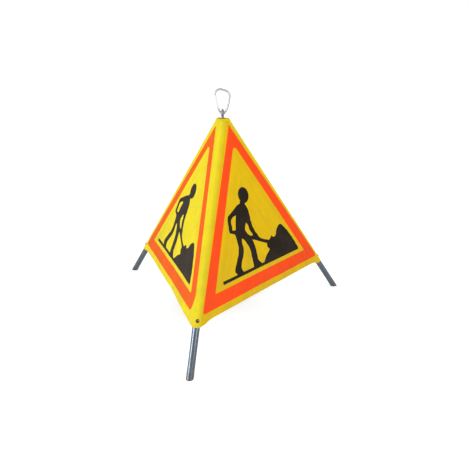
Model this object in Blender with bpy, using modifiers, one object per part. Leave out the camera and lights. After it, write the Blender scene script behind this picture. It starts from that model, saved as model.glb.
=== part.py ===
"""Folding road-works tripod sign.

Three tube legs hang from a crown and are spread by an umbrella linkage: a sprung pull rod carries a
hub, and three struts run from the hub to the legs. A three-sided fabric cover is stretched over the
legs. A snap hook on top of the rod lifts the hub, which folds the legs together.

Metres, +Z up. The origin is on the ground, on the rod's axis.
"""
import math

import bmesh
import bpy
from mathutils import Matrix, Vector

# Stance of the open sign
FOOT_RADIUS = 0.544            # rod axis to each leg's centre line, on the ground
LEG_ANGLE_DEG = 35.26          # of a leg from the vertical
LEG_AZIMUTHS_DEG = {"front": -90.0, "right": 30.0, "left": 150.0}
HINGE_RADIUS = 0.036           # rod axis to each leg's hinge pin
FOLD_ANGLE_DEG = 34.0          # how far a leg swings in when the sign is folded

# Gap between pieces that touch
FIT = 0.0003

# Legs
TUBE_DIAMETER = 0.025
TUBE_WALL = 0.0015
TUBE_TOP_DROP = 0.015          # hinge pin to the tube's top end
KNUCKLE_COLLAR = 0.003
KNUCKLE_SPIGOT = 0.022
TONGUE_THICKNESS = 0.008
EYE_RADIUS = 0.008             # of the tongue and of the crown's ears
HINGE_PIN_DIAMETER = 0.008
HINGE_PIN_HEAD = 0.010
HINGE_PIN_HEAD_HEIGHT = 0.0015
HINGE_PIN_HEAD_CHAMFER = 0.0008
FOOT_SOLE = 0.002
FOOT_SPIGOT = 0.030
SPIGOT_LEAD = 0.0012           # chamfer that leads a spigot into its tube
GROOVE_WIDTH = 0.002           # of the grip grooves round knuckle and foot plug
GROOVE_DEPTH = 0.0006
GROOVE_PITCH = 0.007

# Crown
EAR_THICKNESS = 0.004
EAR_BOSS = 0.0004              # how far the pin's seat stands out of an ear
EAR_BOSS_RADIUS = 0.0062
KNUCKLE_ROOM = 0.0009          # clear behind the tongue, between the ears
CROWN_HUB_RADIUS = 0.0155
CROWN_HUB_ROUND = 0.0012
CROWN_NECK_RADIUS = 0.0105
CROWN_NECK_FILLET = 0.004
CROWN_WEB_THICKNESS = 0.005
CROWN_WEB_CURVE = 0.034        # radius of the hollow sides between the arms
CROWN_RIB_THICKNESS = 0.004
CROWN_RIB_HEIGHT = 0.011       # above the arm, at the neck
BUSH_WALL = 0.0022
BUSH_FLANGE = 0.002
BUSH_FLANGE_WIDTH = 0.0022
CAP_THICKNESS = 0.004
CAP_RECESS = 0.002             # cover's top rim down to the cap

# Pull rod, hub and spring
ROD_DIAMETER = 0.009
ROD_SPIGOT_DIAMETER = 0.007
ROD_TIP = 0.003                # rod's end below the hub's nut
ROD_CHAMFER = 0.0008
ROD_LIFT = 0.0275              # how far the rod rises while the sign is folded
HUB_RADIUS = 0.0215
HUB_HEIGHT = 0.016
HUB_RIM_HEIGHT = 0.0135
HUB_BOSS_RADIUS = 0.010
HUB_SCALLOP_RADIUS = 0.006     # of the hollows between the struts
HUB_SCALLOP_DEPTH = 0.0045
HUB_PIN_SETBACK = 0.001        # hub pin's end in from the hub's edge
HUB_PIN_RADIUS = 0.016         # rod axis to a hub pin
HUB_CHAMFER = 0.0015
HUB_NUT_HEIGHT = 0.0065
HUB_NUT_FLATS = 0.013
SEAT_DIAMETER = 0.021
SEAT_THICKNESS = 0.003
SEAT_HEIGHT = 0.026            # hub pins up to the underside of the spring seat
SPRING_WIRE = 0.0016
SPRING_MEAN_RADIUS = 0.0078
SPRING_TURNS = 10
SPRING_POINTS = 10             # of the wire's line, in each turn

# Struts
LEG_PIN_DISTANCE = 0.300       # hinge pin to strut pin, along the leg
LEG_PIN_OFFSET = 0.021         # leg's centre line to the strut pin, on the inner side
STRUT_ANGLE_DEG = 40.0         # of a strut from the horizontal, standing open
STRUT_WIDTH = 0.010
STRUT_THICKNESS = 0.005
STRUT_PIN_DIAMETER = 0.005

# Strut brackets
BRACKET_EAR = 0.0022
BRACKET_LENGTH = 0.040
BRACKET_EAR_ROOT = 0.016       # length of an ear where it leaves the base
BRACKET_PIN_SETBACK = 0.012    # bracket's upper end to the strut pin
BRACKET_RIVET_SETBACK = 0.007  # bracket's lower end to its rivet
RIVET_RADIUS = 0.002
RIVET_HEAD_RADIUS = 0.0038
RIVET_HEAD_HEIGHT = 0.0016
RIVET_PAST_WALL = 0.001        # how far a rivet's shank reaches past the tube's wall
PIN_PROUD = 0.0008             # how far a strut pin stands out of its bracket
PIN_CHAMFER = 0.0004

# Cover
SLEEVE_FABRIC = 0.001
SLEEVE_END = 0.720             # hinge pin to the sleeve's lower end, along the leg
WINDOW_MARGIN = 0.0015         # clear round the strut bracket
SLEEVE_TOP_SLANT = 0.012       # how much lower the sleeve starts on its inner side
PANEL_FABRIC = 0.0012
HEM_SLOPE = 0.663              # virtual apex to the bottom hem, down the face
PEAK_TOP_DROP = 0.0123         # virtual apex to the cover's top rim
STUD_FROM_END = 0.022          # sleeve's lower end up to the stud
STUD_TURN_DEG = 20.0           # stud's place round the sleeve, from its ridge
STUD_RADIUS = 0.0065
STUD_HEIGHT = 0.0032
STUD_RIM = 0.0007
STUD_SHANK_RADIUS = 0.0024

# Eye and snap hook
LOCK_NUT_HEIGHT = 0.006
LOCK_NUT_FLATS = 0.016
EYE_SHANK_RADIUS = 0.0062
EYE_SHANK_TOP_RADIUS = 0.0056
EYE_SHANK_HEIGHT = 0.0055
EYE_THREAD = 0.0033            # depth of the rod's end in the eye
EYE_RING_RADIUS = 0.01175      # to the middle of the ring's wire
EYE_RING_WIRE = 0.0065
HOOK_WIRE = 0.008
HOOK_LENGTH = 0.0867           # between the wire's centre lines, end to end
HOOK_HALF_WIDTH = 0.0272
HOOK_TONGUE = 0.0034
GATE_PIN_DIAMETER = 0.0024
GATE_PIVOT_SLOT = 0.006        # slot's depth past the gate's pivot
NOSE_LAP = 0.0055              # how far the hook's nose reaches into the gate
NOSE_ROOM = 0.0018             # clear round the nose, lengthwise

ROUND_TUBE = 32
ROUND_PART = 24
ROUND_PIN = 16
TINY = 0.00005                 # least overlap that a union or a cut needs

# Sizes that follow from the ones above
LEG_ANGLE = math.radians(LEG_ANGLE_DEG)
TUBE_RADIUS = TUBE_DIAMETER / 2
ROD_RADIUS = ROD_DIAMETER / 2
APEX_Z = FOOT_RADIUS / math.tan(LEG_ANGLE)
HINGE_Z = APEX_Z - HINGE_RADIUS / math.tan(LEG_ANGLE)
LEG_LENGTH = HINGE_Z / math.cos(LEG_ANGLE)
SLEEVE_BORE = TUBE_RADIUS + FIT
SLEEVE_RADIUS = SLEEVE_BORE + SLEEVE_FABRIC
FACE_SLOPE = math.atan(math.tan(LEG_ANGLE) / 2)
FACE_HALF_ANGLE = math.asin(math.sin(LEG_ANGLE) * math.sin(math.radians(60)))
RIDGE_HALF_ANGLE = math.acos(
    math.cos(FACE_SLOPE) * math.cos(math.radians(60)) * math.cos(LEG_ANGLE)
    + math.sin(FACE_SLOPE) * math.sin(LEG_ANGLE))
PEAK_BOTTOM_Z = HINGE_Z + SLEEVE_RADIUS * math.sin(LEG_ANGLE) + FIT
PEAK_TOP_Z = APEX_Z - PEAK_TOP_DROP
CAP_TOP_Z = PEAK_TOP_Z - CAP_RECESS
CAP_BOTTOM_Z = CAP_TOP_Z - CAP_THICKNESS
STRUT_ANGLE = math.radians(STRUT_ANGLE_DEG)
STRUT_GAP = STRUT_THICKNESS + 2 * FIT
BRACKET_WIDTH = STRUT_GAP + 2 * BRACKET_EAR
FOLD_ANGLE = math.radians(FOLD_ANGLE_DEG)
FOLD_STEPS = [FOLD_ANGLE * step / 34 for step in range(35)]
ROD_LIFT_RATIO = ROD_LIFT / FOLD_ANGLE


def leg_plane_point(fold, along, inward):
    """Radius and height of a point on a leg that has folded in by some angle."""
    angle = LEG_ANGLE - fold
    radius = HINGE_RADIUS + along * math.sin(angle) - inward * math.cos(angle)
    height = HINGE_Z - along * math.cos(angle) - inward * math.sin(angle)
    return radius, height


LEG_PIN_R, LEG_PIN_Z = leg_plane_point(0.0, LEG_PIN_DISTANCE, LEG_PIN_OFFSET)
STRUT_LENGTH = (LEG_PIN_R - HUB_PIN_RADIUS) / math.cos(STRUT_ANGLE)
HUB_Z = LEG_PIN_Z + STRUT_LENGTH * math.sin(STRUT_ANGLE)


def strut_pin_to_hub_pin(fold):
    """Step from the leg's strut pin to the hub pin, in the leg's plane."""
    radius, height = leg_plane_point(fold, LEG_PIN_DISTANCE, LEG_PIN_OFFSET)
    return Vector((HUB_PIN_RADIUS - radius, HUB_Z + ROD_LIFT_RATIO * fold - height))


def strut_turn_ratio():
    """Strut turns per leg turn, both against the ground: the steady ratio that fits the fold best."""
    turns = []
    for fold in FOLD_STEPS:
        step = strut_pin_to_hub_pin(fold)
        turns.append(math.atan2(step.y, -step.x) - STRUT_ANGLE)
    return sum(fold * turn for fold, turn in zip(FOLD_STEPS, turns)) / sum(fold * fold for fold in FOLD_STEPS)


STRUT_TURN_RATIO = strut_turn_ratio()


def hub_pin_in_strut(fold):
    """Where the hub pin stands in its strut: how far it has slid, and how far it is off the middle."""
    to_hub = strut_pin_to_hub_pin(fold)
    angle = STRUT_ANGLE + STRUT_TURN_RATIO * fold
    along = Vector((-math.cos(angle), math.sin(angle)))
    across = Vector((-along.y, along.x))
    return STRUT_LENGTH - to_hub.dot(along), to_hub.dot(across)


SLOT_TRAVEL = max(hub_pin_in_strut(fold)[0] for fold in FOLD_STEPS)
SLOT_SIDE_PLAY = max(abs(hub_pin_in_strut(fold)[1]) for fold in FOLD_STEPS)
SLOT_RADIUS = STRUT_PIN_DIAMETER / 2 + FIT + SLOT_SIDE_PLAY
STRUT_INNER_REACH = min(
    HUB_PIN_RADIUS - hub_pin_in_strut(fold)[0] * math.cos(STRUT_ANGLE + STRUT_TURN_RATIO * fold)
    - STRUT_WIDTH / 2 for fold in FOLD_STEPS)


# Scene and materials

def clear_scene():
    for item in list(bpy.data.objects):
        bpy.data.objects.remove(item, do_unlink=True)


def new_collection(name):
    collection = bpy.data.collections.new(name)
    bpy.context.scene.collection.children.link(collection)
    return collection


def new_material(name, color, roughness, metallic):
    material = bpy.data.materials.new(name)
    material.use_nodes = True
    shader = material.node_tree.nodes["Principled BSDF"]
    shader.inputs["Base Color"].default_value = (*color, 1.0)
    shader.inputs["Roughness"].default_value = roughness
    shader.inputs["Metallic"].default_value = metallic
    material.diffuse_color = (*color, 1.0)
    return material


clear_scene()
PARTS = new_collection("folding_tripod_sign")
CUTTERS = new_collection("cutters")
MATERIALS = {
    "zinc_tube": new_material("zinc_tube", (0.20, 0.24, 0.27), 0.38, 0.9),
    "cast_metal": new_material("cast_metal", (0.33, 0.34, 0.35), 0.50, 0.9),
    "steel": new_material("steel", (0.45, 0.46, 0.48), 0.35, 1.0),
    "chrome": new_material("chrome", (0.85, 0.86, 0.88), 0.12, 1.0),
    "black_plastic": new_material("black_plastic", (0.02, 0.02, 0.022), 0.55, 0.0),
    "yellow_fabric": new_material("yellow_fabric", (0.85, 0.62, 0.02), 0.55, 0.0),
    "spring_steel": new_material("spring_steel", (0.30, 0.31, 0.33), 0.35, 1.0),
}


# Mesh helpers

def mesh_from(bm, name):
    mesh = bpy.data.meshes.new(name)
    bm.to_mesh(mesh)
    bm.free()
    mesh.shade_smooth()
    mesh.set_sharp_from_angle(angle=math.radians(35))
    return mesh


def cylinder(radius, low, high, segments=ROUND_PART, turn=Matrix(), top_radius=None):
    """A cylinder or cone from height low to height high, then moved by turn."""
    bm = bmesh.new()
    bmesh.ops.create_cone(
        bm, cap_ends=True, segments=segments, radius1=radius,
        radius2=radius if top_radius is None else top_radius, depth=high - low,
        matrix=turn @ Matrix.Translation((0, 0, (low + high) / 2)))
    return mesh_from(bm, "cylinder")


def box(low, high):
    """A box between two corners."""
    size = Vector(high) - Vector(low)
    middle = (Vector(high) + Vector(low)) / 2
    bm = bmesh.new()
    bmesh.ops.create_cube(bm, size=1.0, matrix=Matrix.Translation(middle) @ Matrix.Diagonal((*size, 1.0)))
    return mesh_from(bm, "box")


def crosswise(x, z):
    """Turns a shape's Z axis to Y, and moves it to a place in the XZ plane."""
    return Matrix.Translation((x, 0, z)) @ Matrix.Rotation(math.radians(-90), 4, "X")


def add_piece(name, mesh, material, frame):
    """A named piece of the object, placed in the frame of an empty."""
    piece = bpy.data.objects.new(name, mesh)
    piece.parent = frame
    PARTS.objects.link(piece)
    if mesh is not None and not piece.data.materials:
        piece.data.materials.append(MATERIALS[material])
    return piece


def combine(piece, operation, meshes, frame=None):
    """Joins or cuts a piece with meshes, given in the piece's own frame or in another one."""
    for mesh in meshes:
        cutter = bpy.data.objects.new(piece.name + "_" + operation.lower(), mesh)
        cutter.parent = piece.parent if frame is None else frame
        cutter.hide_render = True
        cutter.display_type = "WIRE"
        CUTTERS.objects.link(cutter)
        modifier = piece.modifiers.new(operation.lower(), "BOOLEAN")
        modifier.operation = operation
        modifier.solver = "EXACT"
        modifier.object = cutter
    return piece


def empty(name, matrix, parent=None):
    """A frame for pieces: an empty on a joint's axis or at an assembly's reference point."""
    frame = bpy.data.objects.new(name, None)
    frame.empty_display_type = "ARROWS"
    frame.empty_display_size = TUBE_DIAMETER
    frame.parent = parent
    frame.matrix_local = matrix
    PARTS.objects.link(frame)
    return frame


def slab(outline, half_width, turn=Matrix()):
    """An outline in the XZ plane, thickened to both sides along Y, then moved by turn."""
    bm = bmesh.new()
    face = bm.faces.new([bm.verts.new((x, -half_width, z)) for x, z in outline])
    raised = bmesh.ops.extrude_face_region(bm, geom=[face])
    moved = [item for item in raised["geom"] if isinstance(item, bmesh.types.BMVert)]
    bmesh.ops.translate(bm, vec=(0, 2 * half_width, 0), verts=moved)
    bmesh.ops.transform(bm, matrix=turn, verts=bm.verts)
    bmesh.ops.recalc_face_normals(bm, faces=bm.faces)
    return mesh_from(bm, "slab")


def lathe(profile, segments=ROUND_PART):
    """Mesh of a profile of radius and height, from the axis back to the axis, turned round Z."""
    bm = bmesh.new()
    verts = [bm.verts.new((radius, 0, height)) for radius, height in profile]
    edges = [bm.edges.new(pair) for pair in zip(verts, verts[1:])]
    bmesh.ops.spin(bm, geom=verts + edges, cent=(0, 0, 0), axis=(0, 0, 1), angle=2 * math.pi,
                   steps=segments, use_merge=True)
    bmesh.ops.remove_doubles(bm, verts=bm.verts, dist=0.00001)
    bmesh.ops.recalc_face_normals(bm, faces=bm.faces)
    return mesh_from(bm, "lathe")


def dome(radius, height, seat, steps=3):
    """Profile of a domed head on a seat, from its top out to its rim."""
    angles = [math.pi / 2 * i / steps for i in range(steps + 1)]
    return [(radius * math.sin(a), seat + height * math.cos(a)) for a in angles]


def turned(name, profile, material, frame, segments=ROUND_PART):
    """A turned piece: a profile of radius and height, run top to bottom on the outer side.

    A profile that starts on the axis also ends there; any other one is closed on itself.
    """
    bm = bmesh.new()
    verts = [bm.verts.new((radius, 0, height)) for radius, height in profile]
    if profile[0][0] > 0:
        verts.append(verts[0])
    for first, second in zip(verts, verts[1:]):
        bm.edges.new((first, second))
    piece = add_piece(name, mesh_from(bm, name), material, frame)
    screw = piece.modifiers.new("turn", "SCREW")
    screw.axis = "Z"
    screw.steps = segments
    screw.render_steps = segments
    screw.use_merge_vertices = True
    screw.merge_threshold = 0.00001
    return piece


def plate(name, outline, thickness, material, frame, matrix=Matrix(), holes=()):
    """A flat plate with holes, from outlines in its own XY plane, thickness about that plane."""
    curve = bpy.data.curves.new(name, "CURVE")
    curve.dimensions = "2D"
    curve.fill_mode = "BOTH"
    curve.extrude = thickness / 2
    for points in (outline, *holes):
        spline = curve.splines.new("POLY")
        spline.points.add(len(points) - 1)
        for point, (x, y) in zip(spline.points, points):
            point.co = (x, y, 0, 1)
        spline.use_cyclic_u = True
    piece = add_piece(name, curve, material, frame)
    piece.matrix_local = matrix
    return piece


def arc(centre, radius, start_deg, end_deg, steps):
    """Points along an arc, both ends included."""
    angles = [math.radians(start_deg + (end_deg - start_deg) * i / steps) for i in range(steps + 1)]
    return [(centre[0] + radius * math.cos(a), centre[1] + radius * math.sin(a)) for a in angles]


def grooved_spigot(radius, top, bottom, first_groove):
    """Profile of a plug for a tube: grip grooves from a height down, and a chamfer at its lower end."""
    points = [(0, top), (radius, top)]
    count = int((first_groove - bottom - SPIGOT_LEAD) / GROOVE_PITCH)
    for i in range(count):
        start = first_groove - i * GROOVE_PITCH
        points += [(radius, start), (radius - GROOVE_DEPTH, start - GROOVE_WIDTH / 2),
                   (radius, start - GROOVE_WIDTH)]
    return points + [(radius, bottom + SPIGOT_LEAD), (radius - SPIGOT_LEAD, bottom), (0, bottom)]


def slot_outline(low, high, radius, steps=8):
    """An outline with round ends, along Y, between the two centres."""
    return arc((0, high), radius, 0, 180, steps) + arc((0, low), radius, 180, 360, steps)


# Frames of the assembly

SIGN = empty("sign_frame", Matrix())
HEAD = empty("head_frame", Matrix.Translation((0, 0, HINGE_Z)), SIGN)
ROD = empty("rod_frame", Matrix.Translation((0, 0, HUB_Z)), SIGN)
LEG = {}
STRUT = {}
for side, azimuth in LEG_AZIMUTHS_DEG.items():
    heading = Matrix.Rotation(math.radians(azimuth), 4, "Z")
    hinge = heading @ Matrix.Translation((HINGE_RADIUS, 0, HINGE_Z))
    LEG[side] = empty(f"leg_{side}_frame", hinge @ Matrix.Rotation(-LEG_ANGLE, 4, "Y"), SIGN)
    strut_pin = heading @ Matrix.Translation((LEG_PIN_R, 0, LEG_PIN_Z))
    lean = Matrix.Rotation(STRUT_ANGLE - math.radians(90), 4, "Y")
    STRUT[side] = empty(f"strut_{side}_frame", strut_pin @ lean, SIGN)


# Crown: carries the legs and guides the rod

BUSH_BORE = ROD_RADIUS + FIT
BUSH_RADIUS = BUSH_BORE + BUSH_WALL
EAR_GAP = TONGUE_THICKNESS + 2 * FIT
ARM_WIDTH = EAR_GAP + 2 * EAR_THICKNESS
EAR_SEAT = ARM_WIDTH / 2 + EAR_BOSS    # crown arm's middle to the face under a pin's head


def crown_hub(neck_top):
    """The crown's hub and its neck, with a fillet between them."""
    neck = CROWN_NECK_RADIUS
    fillet = arc((neck + CROWN_NECK_FILLET, EYE_RADIUS + CROWN_NECK_FILLET), CROWN_NECK_FILLET, 180, 270, 4)
    edge = CROWN_HUB_RADIUS - CROWN_HUB_ROUND
    return lathe([(0, neck_top), (neck, neck_top)] + fillet + [
        (edge, EYE_RADIUS), (CROWN_HUB_RADIUS, EYE_RADIUS - CROWN_HUB_ROUND),
        (CROWN_HUB_RADIUS, CROWN_HUB_ROUND - EYE_RADIUS), (edge, -EYE_RADIUS), (0, -EYE_RADIUS)])


def crown_web():
    """Level web whose hollow sides run tangent from each arm to the next."""
    centre = (CROWN_WEB_CURVE + ARM_WIDTH / 2) / math.sin(math.radians(60))
    outline = []
    for azimuth in LEG_AZIMUTHS_DEG.values():
        between = azimuth + 60
        middle = (centre * math.cos(math.radians(between)), centre * math.sin(math.radians(between)))
        outline += arc(middle, CROWN_WEB_CURVE, between + 210, between + 150, 8)
    return slab(outline, CROWN_WEB_THICKNESS / 2, Matrix.Rotation(math.radians(-90), 4, "X"))


def build_crown():
    """Hub with a neck for the cap, a web, and three ribbed arms that end in pairs of ears."""
    neck_top = CAP_BOTTOM_Z - FIT - HINGE_Z
    crown = add_piece("head_crown", crown_hub(neck_top), "cast_metal", HEAD)
    joins = [crown_web()]
    cuts = [cylinder(BUSH_RADIUS + FIT, -2 * EYE_RADIUS, neck_top + EYE_RADIUS)]
    slot_start = HINGE_RADIUS - EYE_RADIUS - KNUCKLE_ROOM
    arm_top = EYE_RADIUS - TINY
    rib_start = (BUSH_RADIUS + CROWN_NECK_RADIUS) / 2
    rib_top = EYE_RADIUS + CROWN_RIB_HEIGHT
    for azimuth in LEG_AZIMUTHS_DEG.values():
        heading = Matrix.Rotation(math.radians(azimuth), 4, "Z")
        pin_line = heading @ crosswise(HINGE_RADIUS, 0)
        ear = arc((HINGE_RADIUS, 0), arm_top, -90, 90, ROUND_PART // 2)
        arm = [(BUSH_RADIUS, -arm_top)] + ear + [(BUSH_RADIUS, arm_top)]
        rib = [(rib_start, 0), (slot_start, 0), (slot_start, arm_top), (CROWN_NECK_RADIUS, rib_top),
               (rib_start, rib_top)]
        joins.append(slab(arm, ARM_WIDTH / 2, heading))
        joins.append(slab(rib, CROWN_RIB_THICKNESS / 2, heading))
        joins.append(cylinder(EAR_BOSS_RADIUS, -EAR_SEAT, EAR_SEAT, ROUND_PIN, pin_line))
        slot = box((slot_start, -EAR_GAP / 2, -2 * EYE_RADIUS),
                   (2 * HINGE_RADIUS, EAR_GAP / 2, 2 * EYE_RADIUS))
        slot.transform(heading)
        cuts.append(slot)
        cuts.append(cylinder(HINGE_PIN_DIAMETER / 2 + FIT, -ARM_WIDTH, ARM_WIDTH, ROUND_PIN, pin_line))
    combine(crown, "UNION", joins)
    combine(crown, "DIFFERENCE", cuts)


def build_guide_bush():
    """Flanged bush in the crown's bore; the spring bears on its flange."""
    flange_radius = BUSH_RADIUS + BUSH_FLANGE_WIDTH
    top = CAP_BOTTOM_Z - HINGE_Z - FIT
    flange_top = -EYE_RADIUS - FIT
    turned("guide_bush", [
        (BUSH_BORE, top), (BUSH_RADIUS, top), (BUSH_RADIUS, flange_top), (flange_radius, flange_top),
        (flange_radius, flange_top - BUSH_FLANGE), (BUSH_BORE, flange_top - BUSH_FLANGE)],
        "black_plastic", HEAD)


def build_hinge_pins():
    for side, azimuth in LEG_AZIMUTHS_DEG.items():
        under_head = EAR_SEAT + FIT
        half = under_head + HINGE_PIN_HEAD_HEIGHT
        shank = HINGE_PIN_DIAMETER / 2
        head = HINGE_PIN_HEAD / 2
        flat = head - HINGE_PIN_HEAD_CHAMFER
        heading = Matrix.Rotation(math.radians(azimuth), 4, "Z")
        frame = empty(f"leg_{side}_pin_frame", heading @ crosswise(HINGE_RADIUS, 0), HEAD)
        turned(f"leg_hinge_pin_{side}", [
            (0, half), (flat, half), (head, half - HINGE_PIN_HEAD_CHAMFER), (head, under_head),
            (shank, under_head), (shank, -under_head), (head, -under_head),
            (head, HINGE_PIN_HEAD_CHAMFER - half), (flat, -half), (0, -half)],
            "steel", frame, ROUND_PIN)


# Cover: peak collar, three faces and three corner sleeves

def peak_outline(z, radius, steps=6):
    """Level section, at height z, of the round ridges of this radius and the flat faces between them."""
    points = []
    corner = (APEX_Z - z) * math.tan(LEG_ANGLE)
    for azimuth in LEG_AZIMUTHS_DEG.values():
        heading = math.radians(azimuth)
        for i in range(steps + 1):
            turn = RIDGE_HALF_ANGLE * (2 * i / steps - 1)
            outward = corner + radius * math.cos(turn) / math.cos(LEG_ANGLE)
            sideways = radius * math.sin(turn)
            points.append(Vector((
                outward * math.cos(heading) - sideways * math.sin(heading),
                outward * math.sin(heading) + sideways * math.cos(heading), z)))
    return points


def peak_loft(name, low, high, radius, capped):
    """Loft between two level sections of the cover's peak."""
    bm = bmesh.new()
    rings = [[bm.verts.new(point) for point in peak_outline(z, radius)] for z in (low, high)]
    count = len(rings[0])
    for i in range(count):
        j = (i + 1) % count
        bm.faces.new((rings[0][i], rings[0][j], rings[1][j], rings[1][i]))
    if capped:
        bm.faces.new(list(reversed(rings[0])))
        bm.faces.new(rings[1])
    return mesh_from(bm, name)


def build_peak_and_cap():
    """Fabric collar round the crown, and the cap that closes it and carries the rod's stop."""
    peak = add_piece("cover_peak", peak_loft("cover_peak", PEAK_BOTTOM_Z, PEAK_TOP_Z, SLEEVE_RADIUS, False),
                     "yellow_fabric", SIGN)
    shell = peak.modifiers.new("fabric", "SOLIDIFY")
    shell.thickness = PANEL_FABRIC
    shell.offset = -1.0
    shell.use_even_offset = True
    seat = SLEEVE_RADIUS - PANEL_FABRIC - FIT
    cap = add_piece("crown_cap", peak_loft("crown_cap", CAP_BOTTOM_Z, CAP_TOP_Z, seat, True),
                    "black_plastic", SIGN)
    combine(cap, "DIFFERENCE", [cylinder(BUSH_BORE, CAP_BOTTOM_Z - CAP_THICKNESS, CAP_TOP_Z + CAP_THICKNESS)])


def build_panels():
    """The three printed faces, flush with the outside of the corner sleeves."""
    middle = SLEEVE_RADIUS - PANEL_FABRIC / 2
    inner = SLEEVE_RADIUS - PANEL_FABRIC
    inset = math.sqrt((SLEEVE_RADIUS + FIT) ** 2 - inner ** 2)
    top = (APEX_Z + SLEEVE_RADIUS * math.sin(FACE_SLOPE) - PEAK_BOTTOM_Z + FIT) / math.cos(FACE_SLOPE)

    def half_width(slope):
        return slope * math.tan(FACE_HALF_ANGLE) - inset / math.cos(FACE_HALF_ANGLE)

    outline = [(-half_width(HEM_SLOPE), -HEM_SLOPE), (half_width(HEM_SLOPE), -HEM_SLOPE),
               (half_width(top), -top), (-half_width(top), -top)]
    for name, azimuth in (("cover_panel_right", -30.0), ("cover_panel_rear", 90.0),
                          ("cover_panel_left", 210.0)):
        lean = Matrix.Rotation(math.radians(90) - FACE_SLOPE, 4, "X")
        face = Matrix.Translation((0, 0, APEX_Z)) @ Matrix.Rotation(math.radians(azimuth + 90), 4, "Z") @ lean
        plate(name, outline, PANEL_FABRIC, "yellow_fabric", SIGN, face @ Matrix.Translation((0, 0, middle)))


def build_sleeve(side, frame):
    """Corner sleeve on a leg, cut away where the crown's ears and the strut bracket need room."""
    bm = bmesh.new()
    bmesh.ops.create_cone(
        bm, cap_ends=False, segments=ROUND_TUBE, radius1=SLEEVE_RADIUS, radius2=SLEEVE_RADIUS,
        depth=SLEEVE_END, matrix=Matrix.Translation((0, 0, -SLEEVE_END / 2)))
    sleeve = add_piece(f"corner_sleeve_{side}", mesh_from(bm, "corner_sleeve"), "yellow_fabric", frame)
    shell = sleeve.modifiers.new("fabric", "SOLIDIFY")
    shell.thickness = SLEEVE_FABRIC
    shell.offset = -1.0
    shell.use_even_offset = True
    slant = math.atan2(SLEEVE_TOP_SLANT, 2 * SLEEVE_RADIUS)
    far = 4 * SLEEVE_RADIUS
    above = box((-far, -far, 0), (far, far, far))
    above.transform(Matrix.Translation((SLEEVE_RADIUS, 0, 0)) @ Matrix.Rotation(-slant, 4, "Y"))
    window_half = BRACKET_WIDTH / 2 + WINDOW_MARGIN
    window_top = BRACKET_PIN_SETBACK - LEG_PIN_DISTANCE + WINDOW_MARGIN
    window = box((-SLEEVE_RADIUS * 2, -window_half, window_top - BRACKET_LENGTH - 2 * WINDOW_MARGIN),
                 (-SLEEVE_RADIUS / 2, window_half, window_top))
    stud_hole = cylinder(STUD_SHANK_RADIUS + FIT, 0, 2 * SLEEVE_RADIUS, ROUND_PIN, STUD_PLACE)
    combine(sleeve, "DIFFERENCE", [above, window, stud_hole])


def out_of_tube(distance, turn_deg):
    """Frame on a leg's centre line, at a distance from its hinge, whose Z points out of the tube."""
    turn = Matrix.Rotation(math.radians(turn_deg), 4, "Z")
    return Matrix.Translation((0, 0, -distance)) @ turn @ Matrix.Rotation(math.radians(90), 4, "Y")


STUD_PLACE = out_of_tube(SLEEVE_END - STUD_FROM_END, STUD_TURN_DEG)
RIVET_PLACE = out_of_tube(
    LEG_PIN_DISTANCE - BRACKET_PIN_SETBACK + BRACKET_LENGTH - BRACKET_RIVET_SETBACK, 180)


# Legs

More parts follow.
